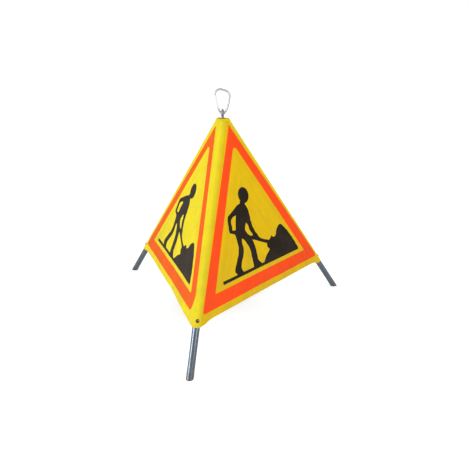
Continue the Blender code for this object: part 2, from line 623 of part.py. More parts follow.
def build_leg(side, frame):
    """Tube, knuckle, foot plug, strut bracket with its pin and rivet, sleeve stud."""
    bore = TUBE_RADIUS - TUBE_WALL
    spigot = bore - FIT
    past_ground = LEG_LENGTH + 2 * TUBE_DIAMETER
    tube = turned(f"leg_tube_{side}", [
        (bore, -TUBE_TOP_DROP), (TUBE_RADIUS, -TUBE_TOP_DROP), (TUBE_RADIUS, -past_ground),
        (bore, -past_ground)], "zinc_tube", frame, ROUND_TUBE)
    far = 2 * FOOT_RADIUS
    combine(tube, "DIFFERENCE", [box((-far, -far, -far), (far, far, FOOT_SOLE + FIT))], SIGN)
    stud_hole = cylinder(STUD_SHANK_RADIUS + FIT, bore / 2, 2 * TUBE_RADIUS, ROUND_PIN, STUD_PLACE)
    rivet_hole = cylinder(RIVET_RADIUS + FIT, bore / 2, 2 * TUBE_RADIUS, ROUND_PIN, RIVET_PLACE)
    combine(tube, "DIFFERENCE", [stud_hole, rivet_hole])

    tongue_root = -TUBE_TOP_DROP + KNUCKLE_COLLAR / 2
    knuckle = add_piece(f"leg_knuckle_{side}", lathe(grooved_spigot(
        spigot, tongue_root, -TUBE_TOP_DROP - KNUCKLE_SPIGOT, -TUBE_TOP_DROP - GROOVE_PITCH)),
        "cast_metal", frame)
    collar = cylinder(TUBE_RADIUS, -TUBE_TOP_DROP + FIT, -TUBE_TOP_DROP + KNUCKLE_COLLAR, ROUND_TUBE)
    tongue = slab([(-EYE_RADIUS, tongue_root), (EYE_RADIUS, tongue_root)]
                  + arc((0, 0), EYE_RADIUS, 0, 180, ROUND_PART // 2), TONGUE_THICKNESS / 2)
    combine(knuckle, "UNION", [collar, tongue])
    combine(knuckle, "DIFFERENCE", [cylinder(
        HINGE_PIN_DIAMETER / 2 + FIT, -TONGUE_THICKNESS, TONGUE_THICKNESS, ROUND_PIN, crosswise(0, 0))])

    plug = add_piece(f"foot_plug_{side}", cylinder(TUBE_RADIUS, -past_ground, -LEG_LENGTH + TUBE_DIAMETER,
                                                   ROUND_TUBE), "black_plastic", frame)
    combine(plug, "DIFFERENCE", [box((-far, -far, FOOT_SOLE), (far, far, far))], SIGN)
    inner_end = LEG_LENGTH - FOOT_SPIGOT
    first_groove = LEG_LENGTH - TUBE_RADIUS * math.tan(LEG_ANGLE) - GROOVE_WIDTH
    spigot_mesh = lathe(grooved_spigot(spigot, past_ground, inner_end, first_groove))
    spigot_mesh.transform(Matrix.Rotation(math.pi, 4, "X"))
    combine(plug, "UNION", [spigot_mesh])
    combine(plug, "DIFFERENCE", [box((-far, -far, -far), (far, far, 0))], SIGN)

    stud_seat = SLEEVE_RADIUS + FIT
    stud_dome = dome(STUD_RADIUS, STUD_HEIGHT - STUD_RIM, stud_seat + STUD_RIM, 4)
    turned(f"sleeve_rivet_{side}", stud_dome + [
        (STUD_RADIUS, stud_seat), (STUD_SHANK_RADIUS, stud_seat), (STUD_SHANK_RADIUS, bore - RIVET_PAST_WALL),
        (0, bore - RIVET_PAST_WALL)], "steel", empty(f"stud_{side}_frame", STUD_PLACE, frame), ROUND_PIN)


def build_bracket(side, frame):
    """Sheet bracket riveted under a leg: a curved base and two ears for the strut pin."""
    base_out = TUBE_RADIUS + FIT + BRACKET_EAR
    low = BRACKET_PIN_SETBACK - BRACKET_LENGTH
    pin_x = -LEG_PIN_OFFSET
    pin_z = -LEG_PIN_DISTANCE
    ear_radius = STRUT_WIDTH / 2
    half_gap = STRUT_GAP / 2
    half_width = BRACKET_WIDTH / 2
    inside = -TUBE_RADIUS / 2
    outline = [(inside, pin_z + BRACKET_PIN_SETBACK), (-base_out, pin_z + BRACKET_PIN_SETBACK),
               (-base_out, pin_z + BRACKET_EAR_ROOT / 2)]
    outline += arc((pin_x, pin_z), ear_radius, 90, 270, ROUND_PART // 2)
    outline += [(-base_out, pin_z - BRACKET_EAR_ROOT / 2), (-base_out, pin_z + low), (inside, pin_z + low)]
    bracket = add_piece(f"strut_bracket_{side}", slab(outline, half_width), "cast_metal", frame)
    strut_room = box((pin_x - 2 * ear_radius, -half_gap, pin_z - BRACKET_LENGTH),
                     (-base_out, half_gap, pin_z + BRACKET_LENGTH))
    tube_room = cylinder(TUBE_RADIUS + FIT, pin_z - BRACKET_LENGTH, pin_z + BRACKET_LENGTH, ROUND_TUBE)
    pin_hole = cylinder(STRUT_PIN_DIAMETER / 2 + FIT, -2 * half_width, 2 * half_width, ROUND_PIN,
                        crosswise(pin_x, pin_z))
    rivet_hole = cylinder(RIVET_RADIUS + FIT, 0, 2 * base_out, ROUND_PIN, RIVET_PLACE)
    combine(bracket, "DIFFERENCE", [tube_room, strut_room, pin_hole, rivet_hole])

    pin_frame = empty(f"bracket_{side}_pin_frame", crosswise(pin_x, pin_z), frame)
    plain_pin(f"bracket_pin_{side}", STRUT_PIN_DIAMETER / 2, half_width + PIN_PROUD, pin_frame)
    seat = base_out + FIT
    tip = TUBE_RADIUS - TUBE_WALL - RIVET_PAST_WALL
    turned(f"bracket_rivet_{side}", dome(RIVET_HEAD_RADIUS, RIVET_HEAD_HEIGHT, seat) + [
        (RIVET_RADIUS, seat), (RIVET_RADIUS, tip), (0, tip)],
        "steel", empty(f"bracket_{side}_rivet_frame", RIVET_PLACE, frame), ROUND_PIN)


def plain_pin(name, radius, half_length, frame):
    """A pin with small chamfers, along the frame's Z."""
    flat = radius - PIN_CHAMFER
    turned(name, [
        (0, half_length), (flat, half_length), (radius, half_length - PIN_CHAMFER),
        (radius, PIN_CHAMFER - half_length), (flat, -half_length), (0, -half_length)],
        "steel", frame, ROUND_PIN)


def build_strut(side, frame):
    """Flat bar from the leg's bracket to the hub, with a slot for the hub pin."""
    outline = slot_outline(0, STRUT_LENGTH, STRUT_WIDTH / 2)
    pin_hole = arc((0, 0), STRUT_PIN_DIAMETER / 2 + FIT, 0, 360, ROUND_PIN)[:-1]
    slot = slot_outline(STRUT_LENGTH - SLOT_TRAVEL, STRUT_LENGTH, SLOT_RADIUS)
    upright = Matrix.Rotation(math.radians(90), 4, "X")
    plate(f"strut_{side}", outline, STRUT_THICKNESS, "steel", frame, upright,
          [pin_hole, slot])


# Pull rod, hub and spring

SEAT_TOP = SEAT_HEIGHT + SEAT_THICKNESS
SPRING_TOP_Z = HINGE_Z - EYE_RADIUS - FIT - BUSH_FLANGE - FIT
LOCK_NUT_Z = CAP_TOP_Z + FIT
EYE_SHANK_Z = LOCK_NUT_Z + LOCK_NUT_HEIGHT + FIT
EYE_Z = EYE_SHANK_Z + EYE_SHANK_HEIGHT + EYE_RING_RADIUS
HOOK_Z = EYE_Z - EYE_RING_RADIUS + EYE_RING_WIRE / 2 + HOOK_WIRE / 2 + FIT


def build_rod():
    """Turned rod: spigot through the hub, collar for the spring, plain shaft, spigot for the eye."""
    spigot = ROD_SPIGOT_DIAMETER / 2
    hub_top = HUB_HEIGHT / 2 + FIT
    tip = -HUB_HEIGHT / 2 - HUB_NUT_HEIGHT - ROD_TIP
    shaft_top = LOCK_NUT_Z - FIT - HUB_Z
    eye_tip = EYE_SHANK_Z + EYE_THREAD - HUB_Z
    seat = SEAT_DIAMETER / 2
    turned("pull_rod", [
        (0, eye_tip), (spigot - ROD_CHAMFER, eye_tip), (spigot, eye_tip - ROD_CHAMFER), (spigot, shaft_top),
        (ROD_RADIUS, shaft_top), (ROD_RADIUS, SEAT_TOP), (seat, SEAT_TOP), (seat, SEAT_HEIGHT),
        (ROD_RADIUS, SEAT_HEIGHT), (ROD_RADIUS, hub_top), (spigot, hub_top), (spigot, tip + ROD_CHAMFER),
        (spigot - ROD_CHAMFER, tip), (0, tip)], "steel", ROD)


def hex_nut(name, flats, bore, low, high, frame):
    """Hexagon nut with chamfered corners and a clear bore."""
    corner = flats / 2 / math.cos(math.radians(30))
    chamfer = (corner - flats / 2) * math.tan(math.radians(30))
    nut = add_piece(name, cylinder(corner, low, high, 6), "steel", frame)
    combine(nut, "INTERSECT", [lathe([
        (0, high + TINY), (flats / 2, high + TINY), (corner + TINY, high - chamfer),
        (corner + TINY, low + chamfer), (flats / 2, low - TINY), (0, low - TINY)])])
    combine(nut, "DIFFERENCE", [cylinder(bore, low - flats, high + flats, ROUND_PIN)])


def build_hub():
    """Slotted disc that holds the upper strut ends, with its pins and nut."""
    half = HUB_HEIGHT / 2
    rim = HUB_RIM_HEIGHT / 2
    bore = ROD_SPIGOT_DIAMETER / 2 + FIT
    slope_end = HUB_BOSS_RADIUS + half - rim
    hub = turned("hub_spider", [
        (bore, half), (HUB_BOSS_RADIUS, half), (slope_end, rim), (HUB_RADIUS - HUB_CHAMFER, rim),
        (HUB_RADIUS, rim - HUB_CHAMFER), (HUB_RADIUS, HUB_CHAMFER - rim), (HUB_RADIUS - HUB_CHAMFER, -rim),
        (slope_end, -rim), (HUB_BOSS_RADIUS, -half), (bore, -half)], "cast_metal", ROD)
    slot_start = STRUT_INNER_REACH - FIT
    half_gap = STRUT_GAP / 2
    pin_edge = HUB_PIN_RADIUS + STRUT_PIN_DIAMETER / 2
    pin_half = math.sqrt(HUB_RADIUS ** 2 - pin_edge ** 2) - HUB_PIN_SETBACK
    scallop = Matrix.Translation((HUB_RADIUS + HUB_SCALLOP_RADIUS - HUB_SCALLOP_DEPTH, 0, 0))
    cuts = []
    for side, azimuth in LEG_AZIMUTHS_DEG.items():
        heading = Matrix.Rotation(math.radians(azimuth), 4, "Z")
        slot = box((slot_start, -half_gap, -HUB_HEIGHT), (2 * HUB_RADIUS, half_gap, HUB_HEIGHT))
        hole = cylinder(STRUT_PIN_DIAMETER / 2 + FIT, -HUB_RADIUS, HUB_RADIUS, ROUND_PIN,
                        crosswise(HUB_PIN_RADIUS, 0))
        for mesh in (slot, hole):
            mesh.transform(heading)
        between = Matrix.Rotation(math.radians(azimuth + 60), 4, "Z")
        hollow = cylinder(HUB_SCALLOP_RADIUS, -HUB_HEIGHT, HUB_HEIGHT, ROUND_PIN, between @ scallop)
        cuts += [slot, hole, hollow]
        frame = empty(f"hub_{side}_pin_frame", heading @ crosswise(HUB_PIN_RADIUS, 0), ROD)
        plain_pin(f"hub_pin_{side}", STRUT_PIN_DIAMETER / 2, pin_half, frame)
    combine(hub, "DIFFERENCE", cuts)
    hex_nut("hub_nut", HUB_NUT_FLATS, bore, -half - FIT - HUB_NUT_HEIGHT, -half - FIT, ROD)


def spring_points():
    """Centre line of the compression spring: straight end, helix, straight end."""
    low = HUB_Z + SEAT_TOP + FIT
    high = SPRING_TOP_Z
    stub = SPRING_WIRE
    points = [Vector((SPRING_MEAN_RADIUS, 0, low))]
    count = SPRING_TURNS * SPRING_POINTS
    for i in range(count + 1):
        angle = 2 * math.pi * i / SPRING_POINTS
        height = low + stub + (high - low - 2 * stub) * i / count
        out = Vector((math.cos(angle), math.sin(angle), 0))
        points.append(SPRING_MEAN_RADIUS * out + Vector((0, 0, height)))
    points.append(Vector((points[-1].x, points[-1].y, high)))
    return points


def least_gap(points, wire, skip):
    """Least clear distance between stretches of a wire that aren't neighbours."""
    least = min((first - second).length for i, first in enumerate(points) for second in points[i + skip:])
    return least - wire


def build_spring():
    points = spring_points()
    curve = bpy.data.curves.new("tension_spring", "CURVE")
    curve.dimensions = "3D"
    curve.bevel_depth = SPRING_WIRE / 2
    curve.bevel_resolution = 1
    curve.use_fill_caps = True
    spline = curve.splines.new("POLY")
    spline.points.add(len(points) - 1)
    for point, place in zip(spline.points, points):
        point.co = (*place, 1)
    add_piece("tension_spring", curve, "spring_steel", SIGN)
    gap = least_gap(points, SPRING_WIRE, SPRING_POINTS // 2)
    print(f"tension spring: least gap between its turns {gap * 1000:.2f} mm")


# Eye and snap hook

def build_rod_eye():
    """Ring with a shank, screwed on the rod's end. The ring's hole faces along X."""
    bm = bmesh.new()
    bmesh.ops.create_cone(
        bm, cap_ends=True, segments=ROUND_PART, radius1=EYE_SHANK_RADIUS, radius2=EYE_SHANK_TOP_RADIUS,
        depth=EYE_SHANK_HEIGHT + EYE_RING_WIRE / 4,
        matrix=Matrix.Translation((0, 0, (EYE_SHANK_HEIGHT + EYE_RING_WIRE / 4) / 2)))
    frame = empty("eye_frame", Matrix.Translation((0, 0, EYE_SHANK_Z - HUB_Z)), ROD)
    eye = add_piece("rod_eye", mesh_from(bm, "rod_eye"), "chrome", frame)
    bpy.ops.mesh.primitive_torus_add(
        major_radius=EYE_RING_RADIUS, minor_radius=EYE_RING_WIRE / 2, major_segments=28, minor_segments=12)
    torus = bpy.context.object
    ring = torus.data
    bpy.data.objects.remove(torus)
    ring.shade_smooth()
    ring.transform(Matrix.Translation((0, 0, EYE_SHANK_HEIGHT + EYE_RING_RADIUS))
                   @ Matrix.Rotation(math.radians(90), 4, "Y"))
    combine(eye, "UNION", [ring])
    depth = EYE_THREAD + FIT
    combine(eye, "DIFFERENCE", [cylinder(ROD_SPIGOT_DIAMETER / 2 + FIT, -depth, depth)])


HOOK_OUTLINE = [
    # share of the half width, share of the length, from the nose round to the gate's pivot
    (-1.00, 0.70), (-1.07, 0.80), (-0.90, 0.925), (-0.45, 1.0), (0.15, 0.97), (0.68, 0.905), (0.93, 0.79),
    (0.91, 0.65), (0.80, 0.43), (0.61, 0.22), (0.37, 0.075), (0.0, 0.0), (-0.37, 0.08), (-0.65, 0.245)]


def hook_point(share):
    return Vector((share[0] * HOOK_HALF_WIDTH, 0, share[1] * HOOK_LENGTH))


def hook_wire_mesh(points):
    """The hook's bent wire, as a closed mesh that can be cut."""
    curve = bpy.data.curves.new("hook_wire", "CURVE")
    curve.dimensions = "3D"
    curve.bevel_depth = HOOK_WIRE / 2
    curve.bevel_resolution = 2
    curve.resolution_u = 4
    curve.use_fill_caps = True
    spline = curve.splines.new("BEZIER")
    spline.bezier_points.add(len(points) - 1)
    for point, place in zip(spline.bezier_points, points):
        point.co = place
        point.handle_left_type = "AUTO"
        point.handle_right_type = "AUTO"
    wire = bpy.data.objects.new("hook_wire", curve)
    PARTS.objects.link(wire)
    depsgraph = bpy.context.evaluated_depsgraph_get()
    mesh = bpy.data.meshes.new_from_object(wire.evaluated_get(depsgraph))
    bpy.data.objects.remove(wire)
    bm = bmesh.new()
    bm.from_mesh(mesh)
    bmesh.ops.remove_doubles(bm, verts=bm.verts, dist=0.00001)
    return mesh_from(bm, "carabiner_body")


def build_snap_hook():
    """Pear-shaped snap hook, wide end up, with a sprung gate on its left side."""
    hook_frame = empty("hook_frame", Matrix.Translation((0, 0, HOOK_Z - HUB_Z)), ROD)
    nose = hook_point(HOOK_OUTLINE[0])
    pivot = hook_point(HOOK_OUTLINE[-1])
    gate_line = nose - pivot
    up_gate = gate_line.normalized()
    wire_radius = HOOK_WIRE / 2
    points = [hook_point(share) for share in HOOK_OUTLINE] + [pivot + up_gate * wire_radius]
    body = add_piece("carabiner_body", hook_wire_mesh(points), "chrome", hook_frame)

    gate_angle = math.atan2(gate_line.x, gate_line.z)
    gate_matrix = Matrix.Translation(pivot) @ Matrix.Rotation(gate_angle, 4, "Y")
    gate_frame = empty("gate_frame", gate_matrix, hook_frame)
    nose_z = gate_line.length
    gate_top = nose_z + NOSE_LAP
    half_tongue = HOOK_TONGUE / 2
    half_slot = half_tongue + FIT
    pin_radius = GATE_PIN_DIAMETER / 2
    pin_hole = (pin_radius + FIT, -HOOK_WIRE, HOOK_WIRE, ROUND_PIN, crosswise(0, 0))

    # both ends of the wire are pressed flat, to tongues that fit the gate's slots
    tongue_cuts = [cylinder(*pin_hole)]
    for low, high in ((-2 * wire_radius, 2 * wire_radius), (nose_z - wire_radius, gate_top + NOSE_ROOM)):
        tongue_cuts.append(box((-HOOK_WIRE, half_tongue, low), (HOOK_WIRE, HOOK_WIRE, high)))
        tongue_cuts.append(box((-HOOK_WIRE, -HOOK_WIRE, low), (HOOK_WIRE, -half_tongue, high)))
    combine(body, "DIFFERENCE", tongue_cuts, gate_frame)

    gate = add_piece("carabiner_gate", cylinder(wire_radius, -wire_radius, gate_top, ROUND_PIN), "chrome",
                     gate_frame)
    pivot_slot = box((-HOOK_WIRE, -half_slot, -HOOK_WIRE), (HOOK_WIRE, half_slot, GATE_PIVOT_SLOT))
    nose_slot = box((-HOOK_WIRE, -half_slot, nose_z - NOSE_ROOM),
                    (HOOK_WIRE, half_slot, gate_top + HOOK_WIRE))
    combine(gate, "DIFFERENCE", [pivot_slot, nose_slot, cylinder(*pin_hole)])
    plain_pin("gate_pin", pin_radius, wire_radius - FIT, empty("gate_pin_frame", crosswise(0, 0), gate_frame))


# Assembly

build_crown()
build_guide_bush()
build_hinge_pins()
build_peak_and_cap()
build_panels()
for side in LEG_AZIMUTHS_DEG:
    build_leg(side, LEG[side])
    build_bracket(side, LEG[side])
    build_sleeve(side, LEG[side])
    build_strut(side, STRUT[side])
build_rod()
build_hub()
build_spring()
hex_nut("eye_lock_nut", LOCK_NUT_FLATS, ROD_SPIGOT_DIAMETER / 2 + FIT, LOCK_NUT_Z - HUB_Z,
        LOCK_NUT_Z + LOCK_NUT_HEIGHT - HUB_Z, ROD)
build_rod_eye()
build_snap_hook()
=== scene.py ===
# %% [markdown]
# # A folding road-works sign, dressed for its picture
# The CAD frame gives every hard piece its place. This lesson adds what a frame can't hold: cloth that is
# cut flat, printed and stretched over the legs, thread, a wound spring, and a worn finish on each metal
# and plastic piece. Everything is in metres, +Z up, with the rod's axis on the Z axis.

# %% Load the frame
import math

import bmesh
import bpy
import numpy as np
from mathutils import Matrix, Vector
from mathutils.geometry import delaunay_2d_cdt


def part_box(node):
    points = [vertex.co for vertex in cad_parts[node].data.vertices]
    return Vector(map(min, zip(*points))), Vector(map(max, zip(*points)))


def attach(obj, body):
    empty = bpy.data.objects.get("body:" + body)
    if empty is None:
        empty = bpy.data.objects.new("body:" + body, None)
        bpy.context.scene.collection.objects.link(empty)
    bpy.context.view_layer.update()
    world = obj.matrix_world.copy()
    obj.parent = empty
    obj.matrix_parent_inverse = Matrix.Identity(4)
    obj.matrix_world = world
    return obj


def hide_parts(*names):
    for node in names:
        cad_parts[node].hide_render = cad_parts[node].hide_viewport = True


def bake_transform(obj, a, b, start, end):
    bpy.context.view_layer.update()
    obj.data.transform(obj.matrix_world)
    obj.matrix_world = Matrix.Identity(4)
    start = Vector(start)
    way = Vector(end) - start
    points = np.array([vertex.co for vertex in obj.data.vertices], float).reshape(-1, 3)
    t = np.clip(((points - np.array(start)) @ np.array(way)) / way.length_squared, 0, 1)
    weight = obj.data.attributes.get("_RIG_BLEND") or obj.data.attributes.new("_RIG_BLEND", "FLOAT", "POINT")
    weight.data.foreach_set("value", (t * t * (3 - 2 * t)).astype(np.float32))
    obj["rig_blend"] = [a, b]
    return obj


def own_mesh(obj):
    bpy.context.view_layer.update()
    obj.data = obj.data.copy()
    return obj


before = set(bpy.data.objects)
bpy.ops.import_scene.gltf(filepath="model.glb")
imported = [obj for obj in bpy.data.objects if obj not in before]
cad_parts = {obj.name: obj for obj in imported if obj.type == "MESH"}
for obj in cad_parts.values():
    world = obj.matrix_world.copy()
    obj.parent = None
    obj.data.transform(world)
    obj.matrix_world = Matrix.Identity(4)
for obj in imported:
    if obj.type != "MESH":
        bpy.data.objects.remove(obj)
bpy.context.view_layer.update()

# %% [markdown]
# ## Sizes of the stance
# A tripod with three equal legs is a three-sided pyramid. One foot radius and one leg angle fix it all:
# where the three leg lines would meet (the apex), how steep a face is, and how wide a face grows on its
# way down. Most of these numbers repeat those of the CAD source, because the cloth has to fit the same
# legs. The hem is the exception: the cloth hangs a few millimetres lower than the frame's plain panels.

# %% The pyramid under the cloth
FOOT_RADIUS = 0.544
LEG_ANGLE = math.radians(35.26)
HINGE_RADIUS = 0.036
TUBE_RADIUS = 0.0125
CLOTH_RADIUS = 0.0138            # outside of the cloth where it wraps a leg
APEX_Z = FOOT_RADIUS / math.tan(LEG_ANGLE)
HINGE_Z = APEX_Z - HINGE_RADIUS / math.tan(LEG_ANGLE)
HINGE_L = HINGE_RADIUS / math.sin(LEG_ANGLE)     # apex to hinge pin, along the leg
FACE_SLOPE = math.atan(math.tan(LEG_ANGLE) / 2)
HALF_TAN = math.tan(math.radians(30))            # half width of a face for each metre down it
SIN30, COS30 = 0.5, math.cos(math.radians(30))
RIDGE_TURN = math.acos(math.cos(FACE_SLOPE) * 0.5 * math.cos(LEG_ANGLE)
                       + math.sin(FACE_SLOPE) * math.sin(LEG_ANGLE))
WRAP = CLOTH_RADIUS * RIDGE_TURN                 # half the cloth's width on a leg
HEM_Q = 0.6695                                   # apex to hem, down a face
HEM_DROP = 0.0075                                # further down, where the hem meets a sleeve
SLEEVE_END_L = HINGE_L + 0.720
RIM_Z = APEX_Z - 0.0123

LEGS = {"front": -90.0, "right": 30.0, "left": 150.0}
FACES = {"right": -30.0, "rear": 90.0, "left": 210.0}
# for each leg: the face whose right edge it carries, then the face whose left edge it carries
BESIDE = {"front": ("left", "right"), "right": ("right", "rear"), "left": ("rear", "left")}
print(f"apex {APEX_Z:.4f} m, face slope {math.degrees(FACE_SLOPE):.2f} deg")

# %% [markdown]
# ## Camera
# A camera is matched to a picture by solving for the few angles that put known points of the object on
# their pixels. Here the three feet, the peak and the sleeve ends gave an azimuth, an elevation, a small
# roll and a focal length in pixels, which a 36 mm sensor turns into a lens.

# %% Camera at the picture's angle
PICTURE_SIZE = 470
FOCAL_PIXELS = 512.6
SENSOR_MM = 36.0
CAMERA_PLACE = Vector((0.34499, -1.90428, 0.97317))
CAMERA_TURNS = (8.67, 19.14, 1.05)        # azimuth, elevation and roll, in degrees


def aimed_axes(azimuth_deg, elevation_deg, roll_deg):
    """The camera's right, up and back axes."""
    azimuth, elevation, roll = (math.radians(a) for a in (azimuth_deg, elevation_deg, roll_deg))
    back = Vector((math.sin(azimuth) * math.cos(elevation), -math.cos(azimuth) * math.cos(elevation),
                   math.sin(elevation)))
    right = Vector((math.cos(azimuth), math.sin(azimuth), 0))
    up = back.cross(right)
    return (math.cos(roll) * right + math.sin(roll) * up,
            math.cos(roll) * up - math.sin(roll) * right, back)


camera = bpy.data.objects.new("picture_camera", bpy.data.cameras.new("picture_camera"))
bpy.context.scene.collection.objects.link(camera)
camera.matrix_world = Matrix(aimed_axes(*CAMERA_TURNS)).transposed().to_4x4()
camera.location = CAMERA_PLACE
camera.data.sensor_width = SENSOR_MM
camera.data.lens = FOCAL_PIXELS / PICTURE_SIZE * SENSOR_MM
camera.data.clip_start, camera.data.clip_end = 0.05, 200.0
bpy.context.scene.camera = camera
print(f"lens {camera.data.lens:.2f} mm")

# %% [markdown]
# ## Node helpers
# A procedural material is a small graph. Building one in code is clearer with one helper that adds a
# node and fills its inputs at once: an input gets a plain value, or a link if the value is a socket.
# Short helpers then cover the nodes that come up most: sums and products, noise, bumps and mixed colours.
# Effects that many materials share, such as wear or weave, become node groups with named sockets.

# %% Helpers for node trees
def fill(tree, node, inputs):
    """Sets inputs to plain values, or links them if the value is a socket."""
    for key, value in inputs.items():
        if isinstance(value, bpy.types.NodeSocket):
            tree.links.new(value, node.inputs[key])
        else:
            node.inputs[key].default_value = value
    return node


def add_node(tree, kind, inputs=None, **settings):
    node = tree.nodes.new("ShaderNode" + kind)
    for name, value in settings.items():
        setattr(node, name, value)
    return fill(tree, node, inputs or {})


def maths(tree, operation, first, second=0.0, clamp=False):
    return add_node(tree, "Math", {0: first, 1: second}, operation=operation, use_clamp=clamp).outputs[0]


def times(tree, first, second, clamp=False):
    return maths(tree, "MULTIPLY", first, second, clamp)


def plus(tree, first, second, clamp=False):
    return maths(tree, "ADD", first, second, clamp)


def blend_colors(tree, share, first, second, mode="MIX"):
    return add_node(tree, "Mix", {0: share, 6: first, 7: second}, data_type="RGBA",
                    blend_type=mode).outputs[2]


def ramp(tree, value, low, high):
    """0 below low, 1 above high, straight between."""
    return add_node(tree, "MapRange", {"Value": value, "From Min": low, "From Max": high}).outputs["Result"]


def object_place(tree):
    return add_node(tree, "TexCoord").outputs["Object"]


def flat_place(tree):
    return add_node(tree, "UVMap", uv_map="flat_cut").outputs["UV"]


def stretched(tree, place, stretch):
    return add_node(tree, "VectorMath", {0: place, 1: stretch}, operation="MULTIPLY").outputs[0]


def noise(tree, place, scale, detail, **others):
    inputs = {"Vector": place, "Scale": scale, "Detail": detail, **others}
    return add_node(tree, "TexNoise", inputs).outputs["Fac"]


def bump(tree, height, strength, distance):
    """The normal of a surface that this height is laid on."""
    return add_node(tree, "Bump", {"Height": height, "Strength": strength, "Distance": distance}).outputs[0]


def color(red, green, blue):
    return (red, green, blue, 1.0)


KINDS = {"number": "NodeSocketFloat", "vector": "NodeSocketVector"}


def new_group(name, inputs, outputs):
    """An empty node group: inputs as (name, kind, default), outputs as (name, kind)."""
    tree = bpy.data.node_groups.new(name, "ShaderNodeTree")
    for socket, kind, default in inputs:
        made = tree.interface.new_socket(socket, in_out="INPUT", socket_type=KINDS[kind])
        if default is not None:
            made.default_value = default
    for socket, kind in outputs:
        tree.interface.new_socket(socket, in_out="OUTPUT", socket_type=KINDS[kind])
    return tree, tree.nodes.new("NodeGroupInput").outputs, tree.nodes.new("NodeGroupOutput").inputs


def use_group(tree, group, inputs):
    return add_node(tree, "Group", inputs, node_tree=group).outputs


def new_material(name):
    """An empty material with its own tree and shader."""
    material = bpy.data.materials.new(name)
    material.use_nodes = True
    return material, material.node_tree, material.node_tree.nodes["Principled BSDF"]


print("node helpers ready")

# %% [markdown]
# ## Shared effects
# *Edge wear* compares the true normal with one rounded over a small radius: where they differ there is an
# edge, and noise breaks the line up. *Grime* is uneven and grows towards the ground. *Weave* is two crossed
# waves that take turns to lie on top, read from the cloth's flat pattern, so threads follow the cut.
# *Streaks* is noise pulled long in one direction, as on a drawn tube.

# %% Node groups
def make_edge_wear():
    tree, given, out = new_group("edge wear", [
        ("Radius", "number", 0.0006), ("Patch Size", "number", 260.0), ("Amount", "number", 0.6)],
        [("Mask", "number")])
    rounded = add_node(tree, "Bevel", {"Radius": given["Radius"]}, samples=4).outputs[0]
    true = add_node(tree, "NewGeometry").outputs["Normal"]
    same = add_node(tree, "VectorMath", {0: rounded, 1: true}, operation="DOT_PRODUCT").outputs["Value"]
    edge = ramp(tree, maths(tree, "SUBTRACT", 1.0, same), 0.01, 0.16)
    broken = ramp(tree, noise(tree, object_place(tree), given["Patch Size"], 3.0), 0.38, 0.62)
    tree.links.new(times(tree, times(tree, edge, broken), given["Amount"], clamp=True), out["Mask"])
    return tree


def make_grime():
    tree, given, out = new_group("grime", [
        ("Scale", "number", 24.0), ("Amount", "number", 0.4), ("Ground Reach", "number", 0.25)],
        [("Mask", "number")])
    place = object_place(tree)
    broad = noise(tree, place, given["Scale"], 6.0, Roughness=0.62)
    speck = noise(tree, place, times(tree, given["Scale"], 14.0), 2.0)
    up = add_node(tree, "SeparateXYZ", {0: place}).outputs["Z"]
    low = maths(tree, "SUBTRACT", 1.0, maths(tree, "DIVIDE", up, given["Ground Reach"]), clamp=True)
    mixed = plus(tree, times(tree, broad, 0.75), times(tree, speck, 0.25))
    patch = ramp(tree, plus(tree, mixed, times(tree, low, 0.22)), 0.50, 0.74)
    tree.links.new(times(tree, patch, given["Amount"], clamp=True), out["Mask"])
    return tree


def make_weave():
    tree, given, out = new_group("weave", [("Thread Pitch", "number", 0.0009)],
                                 [("Height", "number"), ("Gap", "number")])
    split = add_node(tree, "SeparateXYZ", {0: flat_place(tree)})
    turns = maths(tree, "DIVIDE", math.pi, given["Thread Pitch"])
    across, along = (maths(tree, "SINE", times(tree, split.outputs[axis], turns)) for axis in "XY")
    tree.links.new(plus(tree, times(tree, times(tree, across, along), 0.5), 0.5), out["Height"])
    crossing = times(tree, maths(tree, "ABSOLUTE", across), maths(tree, "ABSOLUTE", along))
    tree.links.new(maths(tree, "SUBTRACT", 1.0, crossing, clamp=True), out["Gap"])
    return tree


def make_streaks():
    tree, given, out = new_group("streaks", [
        ("Vector", "vector", None), ("Fineness", "number", 420.0), ("Length", "number", 0.02)],
        [("Height", "number")])
    stretch = add_node(tree, "CombineXYZ", {0: 1.0, 1: 1.0, 2: given["Length"]}).outputs[0]
    pulled = stretched(tree, given["Vector"], stretch)
    tree.links.new(noise(tree, pulled, given["Fineness"], 4.0, Roughness=0.6), out["Height"])
    return tree


EDGE_WEAR, GRIME, WEAVE, STREAKS = make_edge_wear(), make_grime(), make_weave(), make_streaks()
print("groups:", [group.name for group in bpy.data.node_groups])
